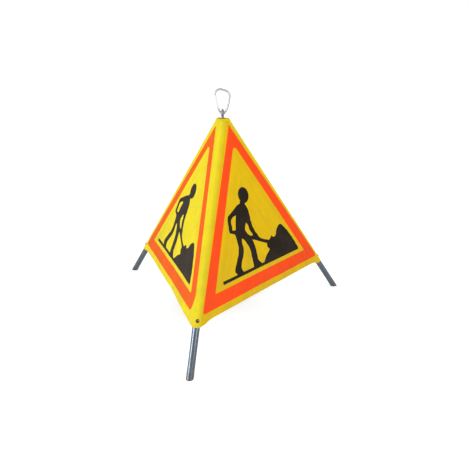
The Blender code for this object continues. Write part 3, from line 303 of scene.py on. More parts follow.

# %% [markdown]
# ## Cloth finishes
# The cover is a woven polyester with a reflective coating: yellow ground, orange band, near-black figure.
# Fluorescent pigments send back more orange light than falls on them, so a little emission stands in for
# that. A painted value, *painted light*, is light painted into the ink: it is highest on the left face and
# on the ridges, which look greener and paler than the right face, the side turned from the light.

# %% Printed cloth, lining, hem and thread
def cloth_material(name, shaded_side_color, lit_side_color, dirt_and_gap_shade_color, glow=0.0, roughness=0.5, pitch=0.0009):
    material, tree, shader = new_material(name)
    # painted light mixes each ink from its colour on the side turned from the light to its paler lit colour
    painted_light = add_node(tree, "Attribute", attribute_name="painted_light").outputs["Fac"]
    ink = blend_colors(tree, painted_light, shaded_side_color, lit_side_color)
    weave = use_group(tree, WEAVE, {"Thread Pitch": pitch})
    dirt = use_group(tree, GRIME, {"Scale": 16.0, "Amount": 0.22, "Ground Reach": 0.45})["Mask"]
    place = object_place(tree)
    mottle = ramp(tree, noise(tree, place, 9.0, 5.0), 0.3, 0.7)
    # long soft bands of lighter and darker cloth along the cut stand in for the shading of folds: painted
    # shade
    long_place = stretched(tree, flat_place(tree), (34.0, 2.6, 0.0))
    painted_fold_shade = ramp(tree, noise(tree, long_place, 1.0, 2.0), 0.32, 0.68)
    shade = plus(tree, plus(tree, times(tree, mottle, 0.06), times(tree, painted_fold_shade, 0.09)), 0.88)
    grey = add_node(tree, "CombineColor", {0: shade, 1: shade, 2: shade}).outputs[0]
    toned = blend_colors(tree, 1.0, ink, grey, "MULTIPLY")
    # the gaps between threads are darkened a little: painted shade
    gap_shaded = blend_colors(tree, times(tree, weave["Gap"], 0.10), toned, dirt_and_gap_shade_color)
    seen = blend_colors(tree, dirt, gap_shaded, dirt_and_gap_shade_color)
    rough = plus(tree, times(tree, dirt, 0.3), roughness, clamp=True)
    creases = noise(tree, place, 34.0, 4.0, Distortion=0.7)
    height = plus(tree, times(tree, weave["Height"], 0.10), creases)
    fill(tree, shader, {"Base Color": seen, "Roughness": plus(tree, rough, times(tree, weave["Gap"], 0.06)),
                        "Normal": bump(tree, height, 0.30, 0.0012), "Specular IOR Level": 0.02})
    if glow:
        fill(tree, shader, {"Emission Color": seen, "Emission Strength": glow})
    return material


# each cloth: its colour on the side turned from the light, its painted lit colour, and its dirt and gap-shade
# colour
COVER_YELLOW = cloth_material("cover yellow", color(0.785, 0.503, 0.005), color(0.80, 0.69, 0.025),
                              color(0.30, 0.22, 0.05), glow=0.05)
COVER_ORANGE = cloth_material("cover orange", color(0.985, 0.072, 0.011), color(0.76, 0.117, 0.008),
                              color(0.35, 0.10, 0.04), glow=0.12)
COVER_BLACK = cloth_material("cover black", color(0.018, 0.0125, 0.009), color(0.027, 0.019, 0.013),
                             color(0.08, 0.065, 0.05), roughness=0.42)
COVER_LINING = cloth_material("cover lining", color(0.52, 0.50, 0.42), color(0.56, 0.55, 0.48),
                              color(0.20, 0.18, 0.14), roughness=0.75, pitch=0.0012)
HEM_CLOTH = cloth_material("hem cloth", color(0.62, 0.42, 0.010), color(0.74, 0.56, 0.020),
                           color(0.25, 0.18, 0.05), roughness=0.6)


def thread_material():
    material, tree, shader = new_material("sewing thread")
    twist = add_node(tree, "TexWave", {"Vector": object_place(tree), "Scale": 900.0, "Distortion": 1.5},
                     bands_direction="DIAGONAL").outputs["Fac"]
    # the thread is darker in the grooves of its twist and lighter on its plies: painted shade and light
    yellow = blend_colors(tree, twist, color(0.60, 0.42, 0.03), color(0.86, 0.68, 0.08))
    fill(tree, shader, {"Base Color": yellow, "Roughness": plus(tree, times(tree, twist, 0.2), 0.5),
                        "Normal": bump(tree, twist, 1.0, 0.0002)})
    return material


THREAD = thread_material()
print("cloth finishes ready")

# %% [markdown]
# ## A place on the cloth
# Two ways to name a point are enough. On a face: *x* sideways from its middle line and *q* down from the
# apex. On a ridge: a turn about the leg and a length *L* down it. A sheet held by its two slanting edges
# hollows slightly between them, more towards the open hem, and keeps a few soft waves that fan out from
# the peak.

# %% From face and ridge to space
APEX = Vector((0, 0, APEX_Z))
SAG = 0.0040                                       # deepest hollow of a face
WAVES = {"right": 0.4, "rear": 2.1, "left": 4.0}   # where each face's soft waves start
BEND_ABOVE_HINGE, BEND_REACH = 0.012, 0.040        # where a sleeve starts to go with its leg


def face_axes(face):
    azimuth = math.radians(FACES[face])
    normal = Vector((math.cos(azimuth) * math.cos(FACE_SLOPE), math.sin(azimuth) * math.cos(FACE_SLOPE),
                     math.sin(FACE_SLOPE)))
    sideways = Vector((-math.sin(azimuth), math.cos(azimuth), 0))
    return sideways, normal.cross(sideways), normal


def leg_axes(side):
    azimuth = math.radians(LEGS[side])
    radial = Vector((math.cos(azimuth), math.sin(azimuth), 0))
    down = math.sin(LEG_ANGLE) * radial - Vector((0, 0, math.cos(LEG_ANGLE)))
    outward = math.cos(LEG_ANGLE) * radial + Vector((0, 0, math.sin(LEG_ANGLE)))
    return down, outward, Vector((-math.sin(azimuth), math.cos(azimuth), 0))


FACE_AXES = {face: face_axes(face) for face in FACES}
LEG_AXES = {side: leg_axes(side) for side in LEGS}


def smooth(share):
    share = min(1.0, max(0.0, share))
    return share * share * (3 - 2 * share)


def billow(face, x, q):
    """How far the cloth stands out of its flat face; mostly a hollow, so below zero."""
    share = min(1.0, abs(x) / (q * HALF_TAN))
    slack = (1 - share ** 2) ** 2
    down = min(1.0, q / HEM_Q)
    hollow = SAG * slack * down ** 1.3 * (1 - 0.35 * down ** 6)
    fan = (math.sin(13 * x / q + 5.0 * down + WAVES[face])
           + 0.6 * math.sin(31 * x / q - 9 * down + WAVES[face]))
    away_from_middle = 1 - math.exp(-(x / 0.03) ** 2)
    return 0.0011 * fan * slack * down * away_from_middle - hollow


def face_point(face, x, q, lift=0.0):
    sideways, upwards, normal = FACE_AXES[face]
    return APEX + x * sideways - q * upwards + (CLOTH_RADIUS + billow(face, x, q) + lift) * normal


def ridge_point(side, turn, length, radius=CLOTH_RADIUS):
    down, outward, rightward = LEG_AXES[side]
    return APEX + length * down + radius * (math.cos(turn) * outward + math.sin(turn) * rightward)


def follow(share, length):
    """How much a point of the cloth goes with the leg: 0 with the head, 1 with the leg."""
    return smooth(share) * smooth((length - HINGE_L + BEND_ABOVE_HINGE) / BEND_REACH)


print("hem half width", round(HEM_Q * HALF_TAN, 4))

# %% [markdown]
# ## The flat cut
# Cloth can't stretch into a corner, but it can bend round one. So each third of the cover is cut flat: half
# of one face, a narrow strip that wraps the leg, and half of the next face. A 2-D Delaunay triangulation
# takes the outline, the print's outlines and a grid of points, and says in which outlines each triangle
# lies. That gives a crisp print without any image, and true flat coordinates for the weave.

# %% From the flat pattern to face or ridge
# share of painted light on each face and on the ridges: most on the left face and ridges, none on the right
# face
FACE_PAINTED_LIGHT = {"right": 0.0, "rear": 0.5, "left": 0.85}
RIDGE_PAINTED_LIGHT = 0.8
RIM_Q = (APEX_Z - RIM_Z + CLOTH_RADIUS * math.sin(FACE_SLOPE)) / math.cos(FACE_SLOPE)


def to_pattern(sign, from_middle, q):
    """Flat place of a face point. sign is +1 right of the ridge, -1 left of it."""
    beyond = q * SIN30 - from_middle * COS30
    return Vector((sign * (WRAP + beyond), -(from_middle * SIN30 + q * COS30)))


def from_pattern(flat):
    """(sign, distance from the face's middle line, q, length) of a flat place.

    On the ridge it is (0, turn about the leg, 0, length)."""
    length, beyond = -flat.y, abs(flat.x) - WRAP
    if beyond <= 0:
        return 0, flat.x / CLOTH_RADIUS, 0.0, length
    return (math.copysign(1, flat.x), length * SIN30 - beyond * COS30, length * COS30 + beyond * SIN30,
            length)


def face_beside(side, sign):
    """The face that a third reaches: sign -1 is left of its leg, +1 right of it."""
    return BESIDE[side][0 if sign < 0 else 1]


def cloth_place(side, flat, lift=0.0):
    """(place in space, share of the leg's motion, share of painted light) of a flat place on a leg's third."""
    sign, first, q, length = from_pattern(flat)
    if sign == 0:
        return ridge_point(side, first, length, CLOTH_RADIUS + lift), follow(1.0, length), RIDGE_PAINTED_LIGHT
    face = face_beside(side, sign)
    share = first / (q * HALF_TAN)
    return face_point(face, -sign * first, q, lift), follow(share, length), FACE_PAINTED_LIGHT[face]


print("rim", round(RIM_Q, 4))

# %% [markdown]
# ## The print
# The warning triangle is an orange band with blunt corners. The figure is the usual one for road works: a
# head, a body with two gaps beside the arms, a shovel, a ground line and a heap. Its outlines are short
# lists of corner and curve points in millimetres, softened between the corners.

# %% Outlines of the print, in millimetres of x and q
def softened(points, corner_deg=42.0, steps=3):
    """A closed outline with a smooth curve through its gentle points and sharp corners kept."""
    count = len(points)
    slopes = []
    for i in range(count):
        before, here, after = (Vector(points[j % count]) for j in (i - 1, i, i + 1))
        turn = (here - before).angle(after - here)
        slopes.append((after - before) / 2 if turn < math.radians(corner_deg) else Vector((0, 0)))
    outline = []
    for i in range(count):
        start, end = Vector(points[i]), Vector(points[(i + 1) % count])
        for step in range(steps):
            t = step / steps
            outline.append((2 * t ** 3 - 3 * t ** 2 + 1) * start + (t ** 3 - 2 * t ** 2 + t) * slopes[i]
                           + (3 * t ** 2 - 2 * t ** 3) * end + (t ** 3 - t ** 2) * slopes[(i + 1) % count])
    return outline


def triangle_sides(slope, start_q, top_q, foot_q):
    """The four ends of a triangle's two sides, which run from a point on the middle line."""
    top, foot = slope * (top_q - start_q), slope * (foot_q - start_q)
    return (-top, top_q), (-foot, foot_q), (foot, foot_q), (top, top_q)


def ellipse(x, q, half_width, half_height, steps=28):
    angles = [2 * math.pi * i / steps for i in range(steps)]
    return [(x + half_width * math.cos(a), q + half_height * math.sin(a)) for a in angles]


PRINT_SHIFT = 4.5     # the print sits this far to the right of the face's middle line
BAND_SIDES = triangle_sides(slope=0.605, start_q=41, top_q=50, foot_q=628)
FIELD_SIDES = triangle_sides(slope=0.585, start_q=113.5, top_q=131, foot_q=596)
LEFT_FOOT = [(-360, 637), (-360.5, 642), (-354, 645.5)]
RIGHT_FOOT = [(350, 645.5), (357, 642), (358.5, 637)]
DRAWN_IN_FOOT = [(316, 645.5), (325, 642), (330, 634), (332, 620), (331, 602), (326, 583)]
FIELD = [(3.5, 126.5), (-3.5, 126.5), *FIELD_SIDES[:2], (-281, 599.5), (281, 599.5), *FIELD_SIDES[2:]]
BODY = [(-8, 330), (-14, 338), (-8, 346), (-5, 354), (-2, 364), (-2, 378), (-1, 388), (-3, 400), (-1, 412),
        (-1, 422), (1, 430), (4, 437), (7, 445), (11, 453), (17, 461), (20, 468), (26, 476), (38, 484),
        (54, 491), (76, 499), (82, 503), (62, 508), (45, 501.5), (27, 493.5), (10, 485.5), (-8, 477.5),
        (-19, 473), (-16, 479), (-15, 486), (-13, 494), (-12, 504), (-11, 516), (-12, 526), (-12, 540),
        (-13, 549), (-10, 557), (-3, 565), (4, 573), (4, 578), (-48, 578), (-46, 560), (-45, 540),
        (-46, 530), (-44, 516), (-46, 500), (-49, 491), (-54, 483), (-58, 475), (-63, 467), (-70, 459),
        (-76, 455.5), (-79, 461), (-82, 470), (-81, 480), (-81, 492), (-83, 500), (-88, 510), (-94, 520),
        (-102, 529), (-109, 539), (-114, 548), (-116, 556), (-114, 564), (-108, 573), (-106, 578),
        (-142, 578), (-150, 568), (-155, 560), (-153, 552), (-146, 542), (-139, 534), (-132, 525),
        (-125, 516), (-117, 507), (-113, 499), (-109, 489), (-106, 480), (-106, 460), (-107, 436),
        (-112, 430), (-120, 426.5), (-133, 422), (-134, 412), (-132, 398), (-130, 382), (-127, 371),
        (-121, 362), (-104, 354.5), (-88, 346.5), (-72, 339), (-58, 332.5), (-46, 330.5), (-40, 328),
        (-38, 320)]
REAR_ARM_GAP = [(-79, 367), (-90, 368), (-101, 372), (-110, 379), (-113.5, 388), (-113, 400),
                (-115.5, 415), (-107, 417.5), (-98, 416.5), (-94.5, 406), (-91, 395), (-86, 383)]
FRONT_ARM_GAP = [(-32, 405), (-38, 412), (-43, 420), (-47, 428), (-44, 436), (-39, 444), (-31, 452),
                 (-20, 458.5), (-10, 458), (-12, 452), (-17, 443), (-21, 436), (-23.5, 428), (-23, 420),
                 (-27, 411)]
GROUND_LINE = [(-229, 572.5), (252, 572.5), (252, 584), (-229, 584)]
HEAP = [(14, 577), (20, 571), (28, 564), (36, 556), (47, 548), (60, 541), (69, 534), (63, 528), (58, 522),
        (60, 514), (62, 507), (70, 502), (80, 499), (88, 495), (93, 490), (98, 486.5), (103, 491.5),
        (110, 496.5), (120, 493.5), (128, 487), (133, 477), (143, 468), (154, 460.5), (166, 456.5),
        (177, 460.5), (184, 468), (192, 476), (198, 484), (206, 492), (210, 500), (215, 508), (220, 516),
        (226, 524), (230, 532), (234, 540), (240, 548), (242, 556), (246, 564), (251, 572), (252, 580),
        (14, 580)]


def in_metres(points, shift=0.0):
    return [((point[0] + shift) / 1000, point[1] / 1000) for point in points]


FIGURE = {
    "field": in_metres(FIELD, PRINT_SHIFT),
    "body": in_metres(softened(BODY)),
    "rear gap": in_metres(softened(REAR_ARM_GAP)),
    "front gap": in_metres(softened(FRONT_ARM_GAP)),
    "head": in_metres(ellipse(-9.5, 303.5, 30.5, 30)),
    "ground": in_metres(GROUND_LINE),
    "heap": in_metres(softened(HEAP)),
}


def print_of(face):
    """All outlines on a face. The left face's band starts lower and is drawn in at the front leg."""
    top_q = 48 if face == "left" else 42
    band_top = [(4, top_q), (-4, top_q)]
    left_side, right_side = list(BAND_SIDES[:2]), list(BAND_SIDES[2:])
    if face == "left":
        right_side[:1] = DRAWN_IN_FOOT
    else:
        right_side[:0] = RIGHT_FOOT
    return {"band": in_metres(band_top + left_side + LEFT_FOOT + right_side, PRINT_SHIFT), **FIGURE}


print("print outlines:", {name: len(points) for name, points in print_of("left").items()})

# %% [markdown]
# Which ink a triangle gets follows from the outlines that hold it: a gap beside an arm beats the body, the
# figure beats the field, and the field beats the band.

# %% Cut and print one third
INKS = [COVER_YELLOW, COVER_ORANGE, COVER_BLACK]
RIDGE_STEPS = 12                                   # strips round a ridge
GRID = 0.0105                                      # size of the cloth's triangles
# where the hem starts to fall, from the face's middle line, and over what width
HEM_FALL, SLACK_HEM_FALL = (0.325, 0.045), (0.12, 0.17)


def ink_of(inside):
    if inside & {"head", "ground", "heap"} or ("body" in inside and not inside & {"rear gap", "front gap"}):
        return 2
    return 1 if "band" in inside and "field" not in inside else 0


def steps_between(start, end, pitch):
    count = max(1, round(abs(end - start) / pitch))
    return [start + (end - start) * i / count for i in range(count)]


def ridge_rim_length(turn):
    """Length down a ridge to the cover's level top rim."""
    rise = CLOTH_RADIUS * math.cos(turn) * math.sin(LEG_ANGLE)
    return (APEX_Z - RIM_Z + rise) / math.cos(LEG_ANGLE)


def hem_q(side, sign, from_middle):
    """The hem falls towards each sleeve. Left of the front leg it hangs slack and falls from far off."""
    start, reach = SLACK_HEM_FALL if (side, sign) == ("front", -1) else HEM_FALL
    return HEM_Q + HEM_DROP * smooth((from_middle - start) / reach)


def half_outline(side, sign):
    """One half of the flat outline, from the rim over the middle line and the hem to the sleeve's end."""
    points = [to_pattern(sign, x, RIM_Q) for x in steps_between(RIM_Q * HALF_TAN, 0, 0.004)]
    points += [to_pattern(sign, 0, q) for q in steps_between(RIM_Q, HEM_Q, GRID)]
    corner_x = (HEM_Q + HEM_DROP) * HALF_TAN
    points += [to_pattern(sign, x, hem_q(side, sign, x))
               for x in steps_between(0, corner_x - 0.002, GRID * 0.7)]
    return points


def third_outline(side):
    right, left = half_outline(side, 1), half_outline(side, -1)
    turns = [RIDGE_TURN * (1 - 2 * i / RIDGE_STEPS) for i in range(RIDGE_STEPS + 1)]
    end = [Vector((turn * CLOTH_RADIUS, -SLEEVE_END_L)) for turn in turns]
    rim = [Vector((-turn * CLOTH_RADIUS, -ridge_rim_length(turn))) for turn in turns[1:-1]]
    return right + end + list(reversed(left)) + rim


def pattern_points():
    """Grid points inside the cut: a row of columns on the ridge, staggered rows on the faces."""
    points = []
    for column in range(RIDGE_STEPS + 1):
        x = WRAP * (1 - 2 * column / RIDGE_STEPS)
        for length in steps_between(ridge_rim_length(0) + GRID / 2, SLEEVE_END_L - GRID / 2, GRID):
            points.append(Vector((x, -length)))
    for sign in (-1, 1):
        for row, q in enumerate(steps_between(RIM_Q + GRID / 2, HEM_Q - GRID / 3, GRID)):
            for x in steps_between(GRID * (0.5 if row % 2 else 1.0), q * HALF_TAN - GRID / 3, GRID):
                points.append(to_pattern(sign, x, q))
    return points


def finely(outline, pitch):
    """The same outline with points along its long sides, so that they bend with the cloth."""
    points = []
    for start, end in zip(outline, outline[1:] + outline[:1]):
        count = max(1, round((end - start).length / pitch))
        points += [start.lerp(end, i / count) for i in range(count)]
    return points


def anticlockwise(outline):
    """The same outline, turned the way that the triangulation takes as its inside."""
    area = sum(a[0] * b[1] - b[0] * a[1] for a, b in zip(outline, outline[1:] + outline[:1]))
    return outline if area > 0 else list(reversed(outline))


def triangulated(points, polygons):
    """Points, triangles, and for each triangle the outlines that hold it."""
    flat, _, triangles, _, _, holders = delaunay_2d_cdt(points, [], polygons, 0, 1e-6)
    return flat, triangles, holders


def cut_third(side):
    """Flat points, triangles and each triangle's ink."""
    points, polygons, names = [], [], []
    for name, outline in [("cut", third_outline(side))] + [
            (name, [to_pattern(sign, -sign * x, q) for x, q in outline])
            for sign in (-1, 1) for name, outline in print_of(face_beside(side, sign)).items()]:
        fine = anticlockwise(finely(outline, GRID))
        polygons.append(list(range(len(points), len(points) + len(fine))))
        points += fine
        names.append(name)
    points += pattern_points()
    flat, triangles, holders = triangulated(points, polygons)
    kept, inks = [], []
    for triangle, holder in zip(triangles, holders):
        if 0 in holder:
            kept.append(triangle)
            inks.append(ink_of({names[i] for i in holder}))
    return flat, kept, inks


CUTS = {side: cut_third(side) for side in LEGS}

# %% [markdown]
# ## Sewing the cover
# The flat cut becomes a mesh, each point is sent to its place in space, and a Solidify modifier gives the
# cloth its thickness towards the inside, with the lining as its second material. So the piece is blended
# once, and its attribute is then filled with the share worked out for each point.

# %% Make the three thirds
CLOTH_THICKNESS = 0.0008


def link(name, mesh):
    piece = bpy.data.objects.new(name, mesh)
    bpy.context.scene.collection.objects.link(piece)
    return piece


def cloth_mesh(name, flat, places, faces):
    """A smooth mesh with the flat cut kept as its UV map."""
    mesh = bpy.data.meshes.new(name)
    mesh.from_pydata(places, [], faces)
    uv = mesh.uv_layers.new(name="flat_cut")
    corners = np.empty(len(mesh.loops), np.int32)
    mesh.loops.foreach_get("vertex_index", corners)
    uv.data.foreach_set("uv", np.array([tuple(point) for point in flat], np.float32)[corners].ravel())
    mesh.shade_smooth()
    return mesh


def paint(mesh, name, values):
    attribute = mesh.attributes.get(name) or mesh.attributes.new(name, "FLOAT", "POINT")
    attribute.data.foreach_set("value", np.array(values, np.float32))


def sew_to_leg(piece, side, shares, nodes=()):
    """Lets a finished cloth piece go with the head and a leg, each point by its own share."""
    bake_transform(piece, "head", f"leg_{side}", start=(0, 0, HINGE_Z), end=ridge_point(side, 0, SLEEVE_END_L))
    paint(piece.data, "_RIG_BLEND", shares)
    if nodes:
        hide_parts(*nodes)


def sharpen_border(mesh):
    """Keeps the shading of a sheet apart from that of its cut edge."""
    uses = np.zeros(len(mesh.edges), np.int32)
    edges = np.empty(len(mesh.loops), np.int32)
    mesh.loops.foreach_get("edge_index", edges)
    np.add.at(uses, edges, 1)
    mesh.attributes.new("sharp_edge", "BOOLEAN", "EDGE").data.foreach_set("value", uses == 1)


def thicken(piece, thickness, material_step=0):
    sharpen_border(piece.data)
    shell = piece.modifiers.new("cloth", "SOLIDIFY")
    shell.thickness = thickness
    shell.offset = -1.0
    shell.material_offset = material_step
    return piece


def make_third(side):
    flat, faces, inks = CUTS[side]
    placed = [cloth_place(side, point) for point in flat]
    mesh = cloth_mesh(f"cover_third_{side}", flat, [p[0] for p in placed], faces)
    for material in INKS + [COVER_LINING] * 3:
        mesh.materials.append(material)
    mesh.polygons.foreach_set("material_index", inks)
    # each point gets the share of painted light of its face or ridge
    paint(mesh, "painted_light", [p[2] for p in placed])
    piece = link(f"cover_third_{side}", mesh)
    nodes = [f"corner_sleeve_{side}"] + [f"cover_panel_{face}" for face in BESIDE[side]]
    sew_to_leg(piece, side, [p[1] for p in placed], nodes)
    return thicken(piece, CLOTH_THICKNESS, len(INKS))


THIRDS = {side: make_third(side) for side in LEGS}
print("cover:", {side: len(piece.data.polygons) for side, piece in THIRDS.items()})

# %% [markdown]
# ## Pockets behind the legs
# On the inside a strip of the same cloth closes each sleeve round its tube. It leaves a window for the
# strut's bracket and starts a little lower than the hinge, so that the leg can turn.

# %% Pocket strips
WINDOW_TOP, WINDOW_FOOT, WINDOW_HALF = HINGE_L + 0.2865, HINGE_L + 0.3295, 0.0065
POCKET_TOP = HINGE_L + 0.012
POCKET_TURN = math.pi - RIDGE_TURN - math.radians(6)
POCKET_THICKNESS = 0.0006


def rounded_square(angle):
    """A place on a square of half side 1 with rounded corners."""
    return [math.copysign(abs(part) ** 0.3, part) for part in (math.cos(angle), math.sin(angle))]


def make_pocket(side):
    half = POCKET_TURN * CLOTH_RADIUS
    outline = [Vector((half, -POCKET_TOP + 0.006)), Vector((-half, -POCKET_TOP + 0.006)),
               Vector((-half, -SLEEVE_END_L)), Vector((half, -SLEEVE_END_L))]
    dense = finely(outline, 0.006)
    middle, window_reach = (WINDOW_TOP + WINDOW_FOOT) / 2, (WINDOW_FOOT - WINDOW_TOP) / 2
    window = [Vector((WINDOW_HALF * aside, -middle + window_reach * up))
              for aside, up in (rounded_square(2 * math.pi * i / 40) for i in range(40))]
    points = anticlockwise(dense) + anticlockwise(window)
    polygons = [list(range(len(dense))), list(range(len(dense), len(points)))]
    points += [Vector((half * (1 - 2 * column / 14), -length)) for column in range(1, 14)
               for length in steps_between(POCKET_TOP, SLEEVE_END_L - 0.008, 0.012)]
    flat, triangles, holders = triangulated(points, polygons)
    faces = [face for face, holder in zip(triangles, holders) if 0 in holder and 1 not in holder]
    places = [ridge_point(side, math.pi + point.x / CLOTH_RADIUS, -point.y, CLOTH_RADIUS - 0.00005)
              for point in flat]
    mesh = cloth_mesh(f"sleeve_pocket_{side}", flat, places, faces)
    for material in (COVER_YELLOW, COVER_LINING):
        mesh.materials.append(material)
    # the pockets get a middle share of painted light
    paint(mesh, "painted_light", [0.4] * len(places))
    piece = link(mesh.name, mesh)
    sew_to_leg(piece, side, [follow(1.0, -point.y) for point in flat])
    return thicken(piece, POCKET_THICKNESS, 1)


POCKETS = {side: make_pocket(side) for side in LEGS}
print("pockets:", {side: len(piece.data.polygons) for side, piece in POCKETS.items()})

# %% [markdown]
# ## Peak band
# Inside the cover's top edge a band of hem cloth stiffens the opening round the cap.

# %% Peak band
BAND_OUT = CLOTH_RADIUS - CLOTH_THICKNESS - 0.00005
BAND_HEIGHTS = (0.7290, 0.738, 0.747, RIM_Z - 0.0004)
BAND_THICKNESS, BAND_FLAT = 0.0005, (0.20, 0.030)


def level_outline(z, radius, steps=8):
    """Level section of the ridges of this radius and the flat faces between them."""
    points = []
    for side in LEGS:
        down, outward, rightward = LEG_AXES[side]
        for i in range(steps + 1):
            turn = RIDGE_TURN * (2 * i / steps - 1)
            off = radius * (math.cos(turn) * outward + math.sin(turn) * rightward)
            points.append(APEX + down * ((APEX_Z + off.z - z) / math.cos(LEG_ANGLE)) + off)
    return points


def ring_strip(name, rings, ups, material, painted_light):
    """A strip of cloth round the head, through rings of points. ups are their places on the flat cut."""
    count = len(rings[0])
    faces = []
    for low in range(0, count * (len(rings) - 1), count):
        faces += [(low + i, low + (i + 1) % count, low + count + (i + 1) % count, low + count + i)
                  for i in range(count)]
    flat = [(0.008 * i, up) for up in ups for i in range(count)]
    mesh = cloth_mesh(name, flat, [point for ring in rings for point in ring], faces)
    mesh.materials.append(material)
    # every point of a strip gets the same share of painted light
    paint(mesh, "painted_light", [painted_light] * len(mesh.vertices))
    piece = link(name, mesh)
    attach(piece, "head")
    return piece


def make_peak_band():
    rings = [level_outline(z, BAND_OUT) for z in BAND_HEIGHTS]
    # the peak band gets a small share of painted light
    piece = ring_strip("peak_band", rings, BAND_HEIGHTS, HEM_CLOTH, 0.3)
    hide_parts("cover_peak")
    return thicken(piece, BAND_THICKNESS)


PEAK_BAND = make_peak_band()
print("peak band faces", len(PEAK_BAND.data.polygons))

# %% [markdown]
# The cover's top edge is bound: a narrow strip is folded over it, so the rim is a little thicker than the
# cloth below. Its section is a short list of places across the cloth and along it.

# %% Rim binding
RIM_SECTION = [(0.0001, -0.0075), (0.0008, -0.0070), (0.0011, -0.0030), (0.0010, 0.0008), (0.0002, 0.0019),
               (-0.0010, 0.0019), (-0.0018, 0.0008), (-0.0020, -0.0030), (-0.0018, -0.0070)]
RIM_THICKNESS, RIM_FLAT = 0.0003, (0.20, 0.018)


def make_rim_binding():
    """A strip over the rim: each point of the section is (out of the cloth's face, above the rim)."""
    rings = [level_outline(RIM_Z + up, CLOTH_RADIUS + out, steps=10) for out, up in RIM_SECTION]
    ups = [0.004 * r for r in range(len(rings))]
    # the binding gets a large share of painted light
    return thicken(ring_strip("rim_binding", rings, ups, COVER_YELLOW, 0.6), RIM_THICKNESS)


RIM_BINDING = make_rim_binding()
print("rim binding faces", len(RIM_BINDING.data.polygons))

# %% [markdown]
# ## Stitching
# Real seams show thread. Each stitch here is a small eight-sided lozenge, half sunk in the cloth, placed
# in the same flat coordinates as the cloth itself, so it bends with it.

# %% Stitches
STITCH_PITCH, STITCH_LENGTH, STITCH_WIDTH = 0.0050, 0.0036, 0.0007
STITCH_RISE, STITCH_DEPTH = 0.00035, 0.0003
HEM_SEAM_Q = HEM_Q - 0.012


def stitch_lines():
    """Flat lines of the seams on a third: the hem, both sides of the ridge, and the sleeve's end."""
    lines = []
    for sign in (-1, 1):
        lines.append([to_pattern(sign, x, HEM_SEAM_Q) for x in (0.004, HEM_SEAM_Q * HALF_TAN - 0.010)])
        lines.append([Vector((sign * (WRAP + 0.0045), y))
                      for y in (-ridge_rim_length(0) - 0.010, -HEM_Q / COS30 + 0.016)])
    lines.append([Vector((x, -SLEEVE_END_L + 0.006)) for x in (-WRAP + 0.002, WRAP - 0.002)])
    return lines


def make_stitching(side):
    places, shares, faces = [], [], []
    for start, end in stitch_lines():
        along = (end - start).normalized()
        for t in steps_between(0, 1, STITCH_PITCH / (end - start).length):
            middle = start.lerp(end, t) + along * STITCH_PITCH / 2
            aside = Vector((-along.y, along.x)) * STITCH_WIDTH / 2
            ring = [(middle - along * STITCH_LENGTH / 2, 0), (middle + aside, 0),
                    (middle + along * STITCH_LENGTH / 2, 0), (middle - aside, 0),
                    (middle, STITCH_RISE), (middle, -STITCH_DEPTH)]
            base = len(places)
            for flat, lift in ring:
                place, share, _ = cloth_place(side, flat, lift)
                places.append(place)
                shares.append(share)
            for i in range(4):
                here, after = base + i, base + (i + 1) % 4
                faces += [(after, here, base + 4), (here, after, base + 5)]
    mesh = bpy.data.meshes.new(f"stitching_{side}")
    mesh.from_pydata(places, [], faces)
    mesh.materials.append(THREAD)
    mesh.shade_smooth()
    piece = link(mesh.name, mesh)
    sew_to_leg(piece, side, shares)
    return piece


STITCHING = {side: make_stitching(side) for side in LEGS}
print("stitches:", sum(len(piece.data.polygons) // 8 for piece in STITCHING.values()))

# %% [markdown]
# ## The spring
# A compression spring has closed ends: the first and last coil lie on their neighbours, and the coils
# between share the rest of the length. A round section is swept along that line.

# %% Wind the spring
SPRING_LOW, SPRING_HIGH = 0.63847, HINGE_Z - 0.0106     # top of the rod's seat, underside of the crown
SPRING_MEAN, SPRING_WIRE, OPEN_TURNS = 0.0078, 0.0016, 10


def spring_line(per_turn=28):
    closed = SPRING_WIRE * 1.06
    low, high = SPRING_LOW + SPRING_WIRE / 2, SPRING_HIGH - SPRING_WIRE / 2
    turns = OPEN_TURNS + 2
    points = []
    for i in range(turns * per_turn + 1):
        turn = i / per_turn
        if turn < 1:
            height = low + closed * turn
        elif turn > turns - 1:
            height = high - closed * (turns - turn)
        else:
            height = low + closed + (high - low - 2 * closed) * (turn - 1) / OPEN_TURNS
        angle = 2 * math.pi * turn
        points.append(Vector((SPRING_MEAN * math.cos(angle), SPRING_MEAN * math.sin(angle), height)))
    return points


def solid_mesh(name, places, faces):
    """A smooth mesh with its faces turned outwards."""
    mesh = bpy.data.meshes.new(name)
    mesh.from_pydata(places, [], faces)
    bm = bmesh.new()
    bm.from_mesh(mesh)
    bmesh.ops.recalc_face_normals(bm, faces=bm.faces)
    bm.to_mesh(mesh)
    bm.free()
    mesh.shade_smooth()
    return mesh


def swept(name, line, radius, sides=10):
    """A closed round wire along a line."""
    places, faces = [], []
    for i, point in enumerate(line):
        heading = (line[min(i + 1, len(line) - 1)] - line[max(i - 1, 0)]).normalized()
        level = Vector((point.x, point.y, 0)).normalized()
        third = heading.cross(level).normalized()
        for k in range(sides):
            a = 2 * math.pi * k / sides
            places.append(point + radius * (math.cos(a) * level + math.sin(a) * third))
    for i in range(len(line) - 1):
        for k in range(sides):
            n = (k + 1) % sides
            faces.append((i * sides + k, i * sides + n, (i + 1) * sides + n, (i + 1) * sides + k))
    faces += [tuple(reversed(range(sides))), tuple(range(len(places) - sides, len(places)))]
    return solid_mesh(name, places, faces)


SPRING = link("wound_spring", swept("wound_spring", spring_line(), SPRING_WIRE / 2))
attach(SPRING, "head")
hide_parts("tension_spring")
print("spring faces", len(SPRING.data.polygons))

# %% [markdown]
# ## Metal and plastic
# The tubes are galvanised: a blue-grey skin with faint crystals and long drawing marks, dull where it has
# been handled. That skin, and the zinc of the eye, rod and nut, is painted much darker than bare zinc:
# painted shade for the dark surroundings that glossy metal reflects. The pins and struts are bright zinc,
# the hook is satin chrome, the crown and hub are cast.
# One function makes all the metals, and each tube's finish is turned so that drawing marks run along it.

# %% Metal and plastic finishes
DIRT = color(0.09, 0.08, 0.065)


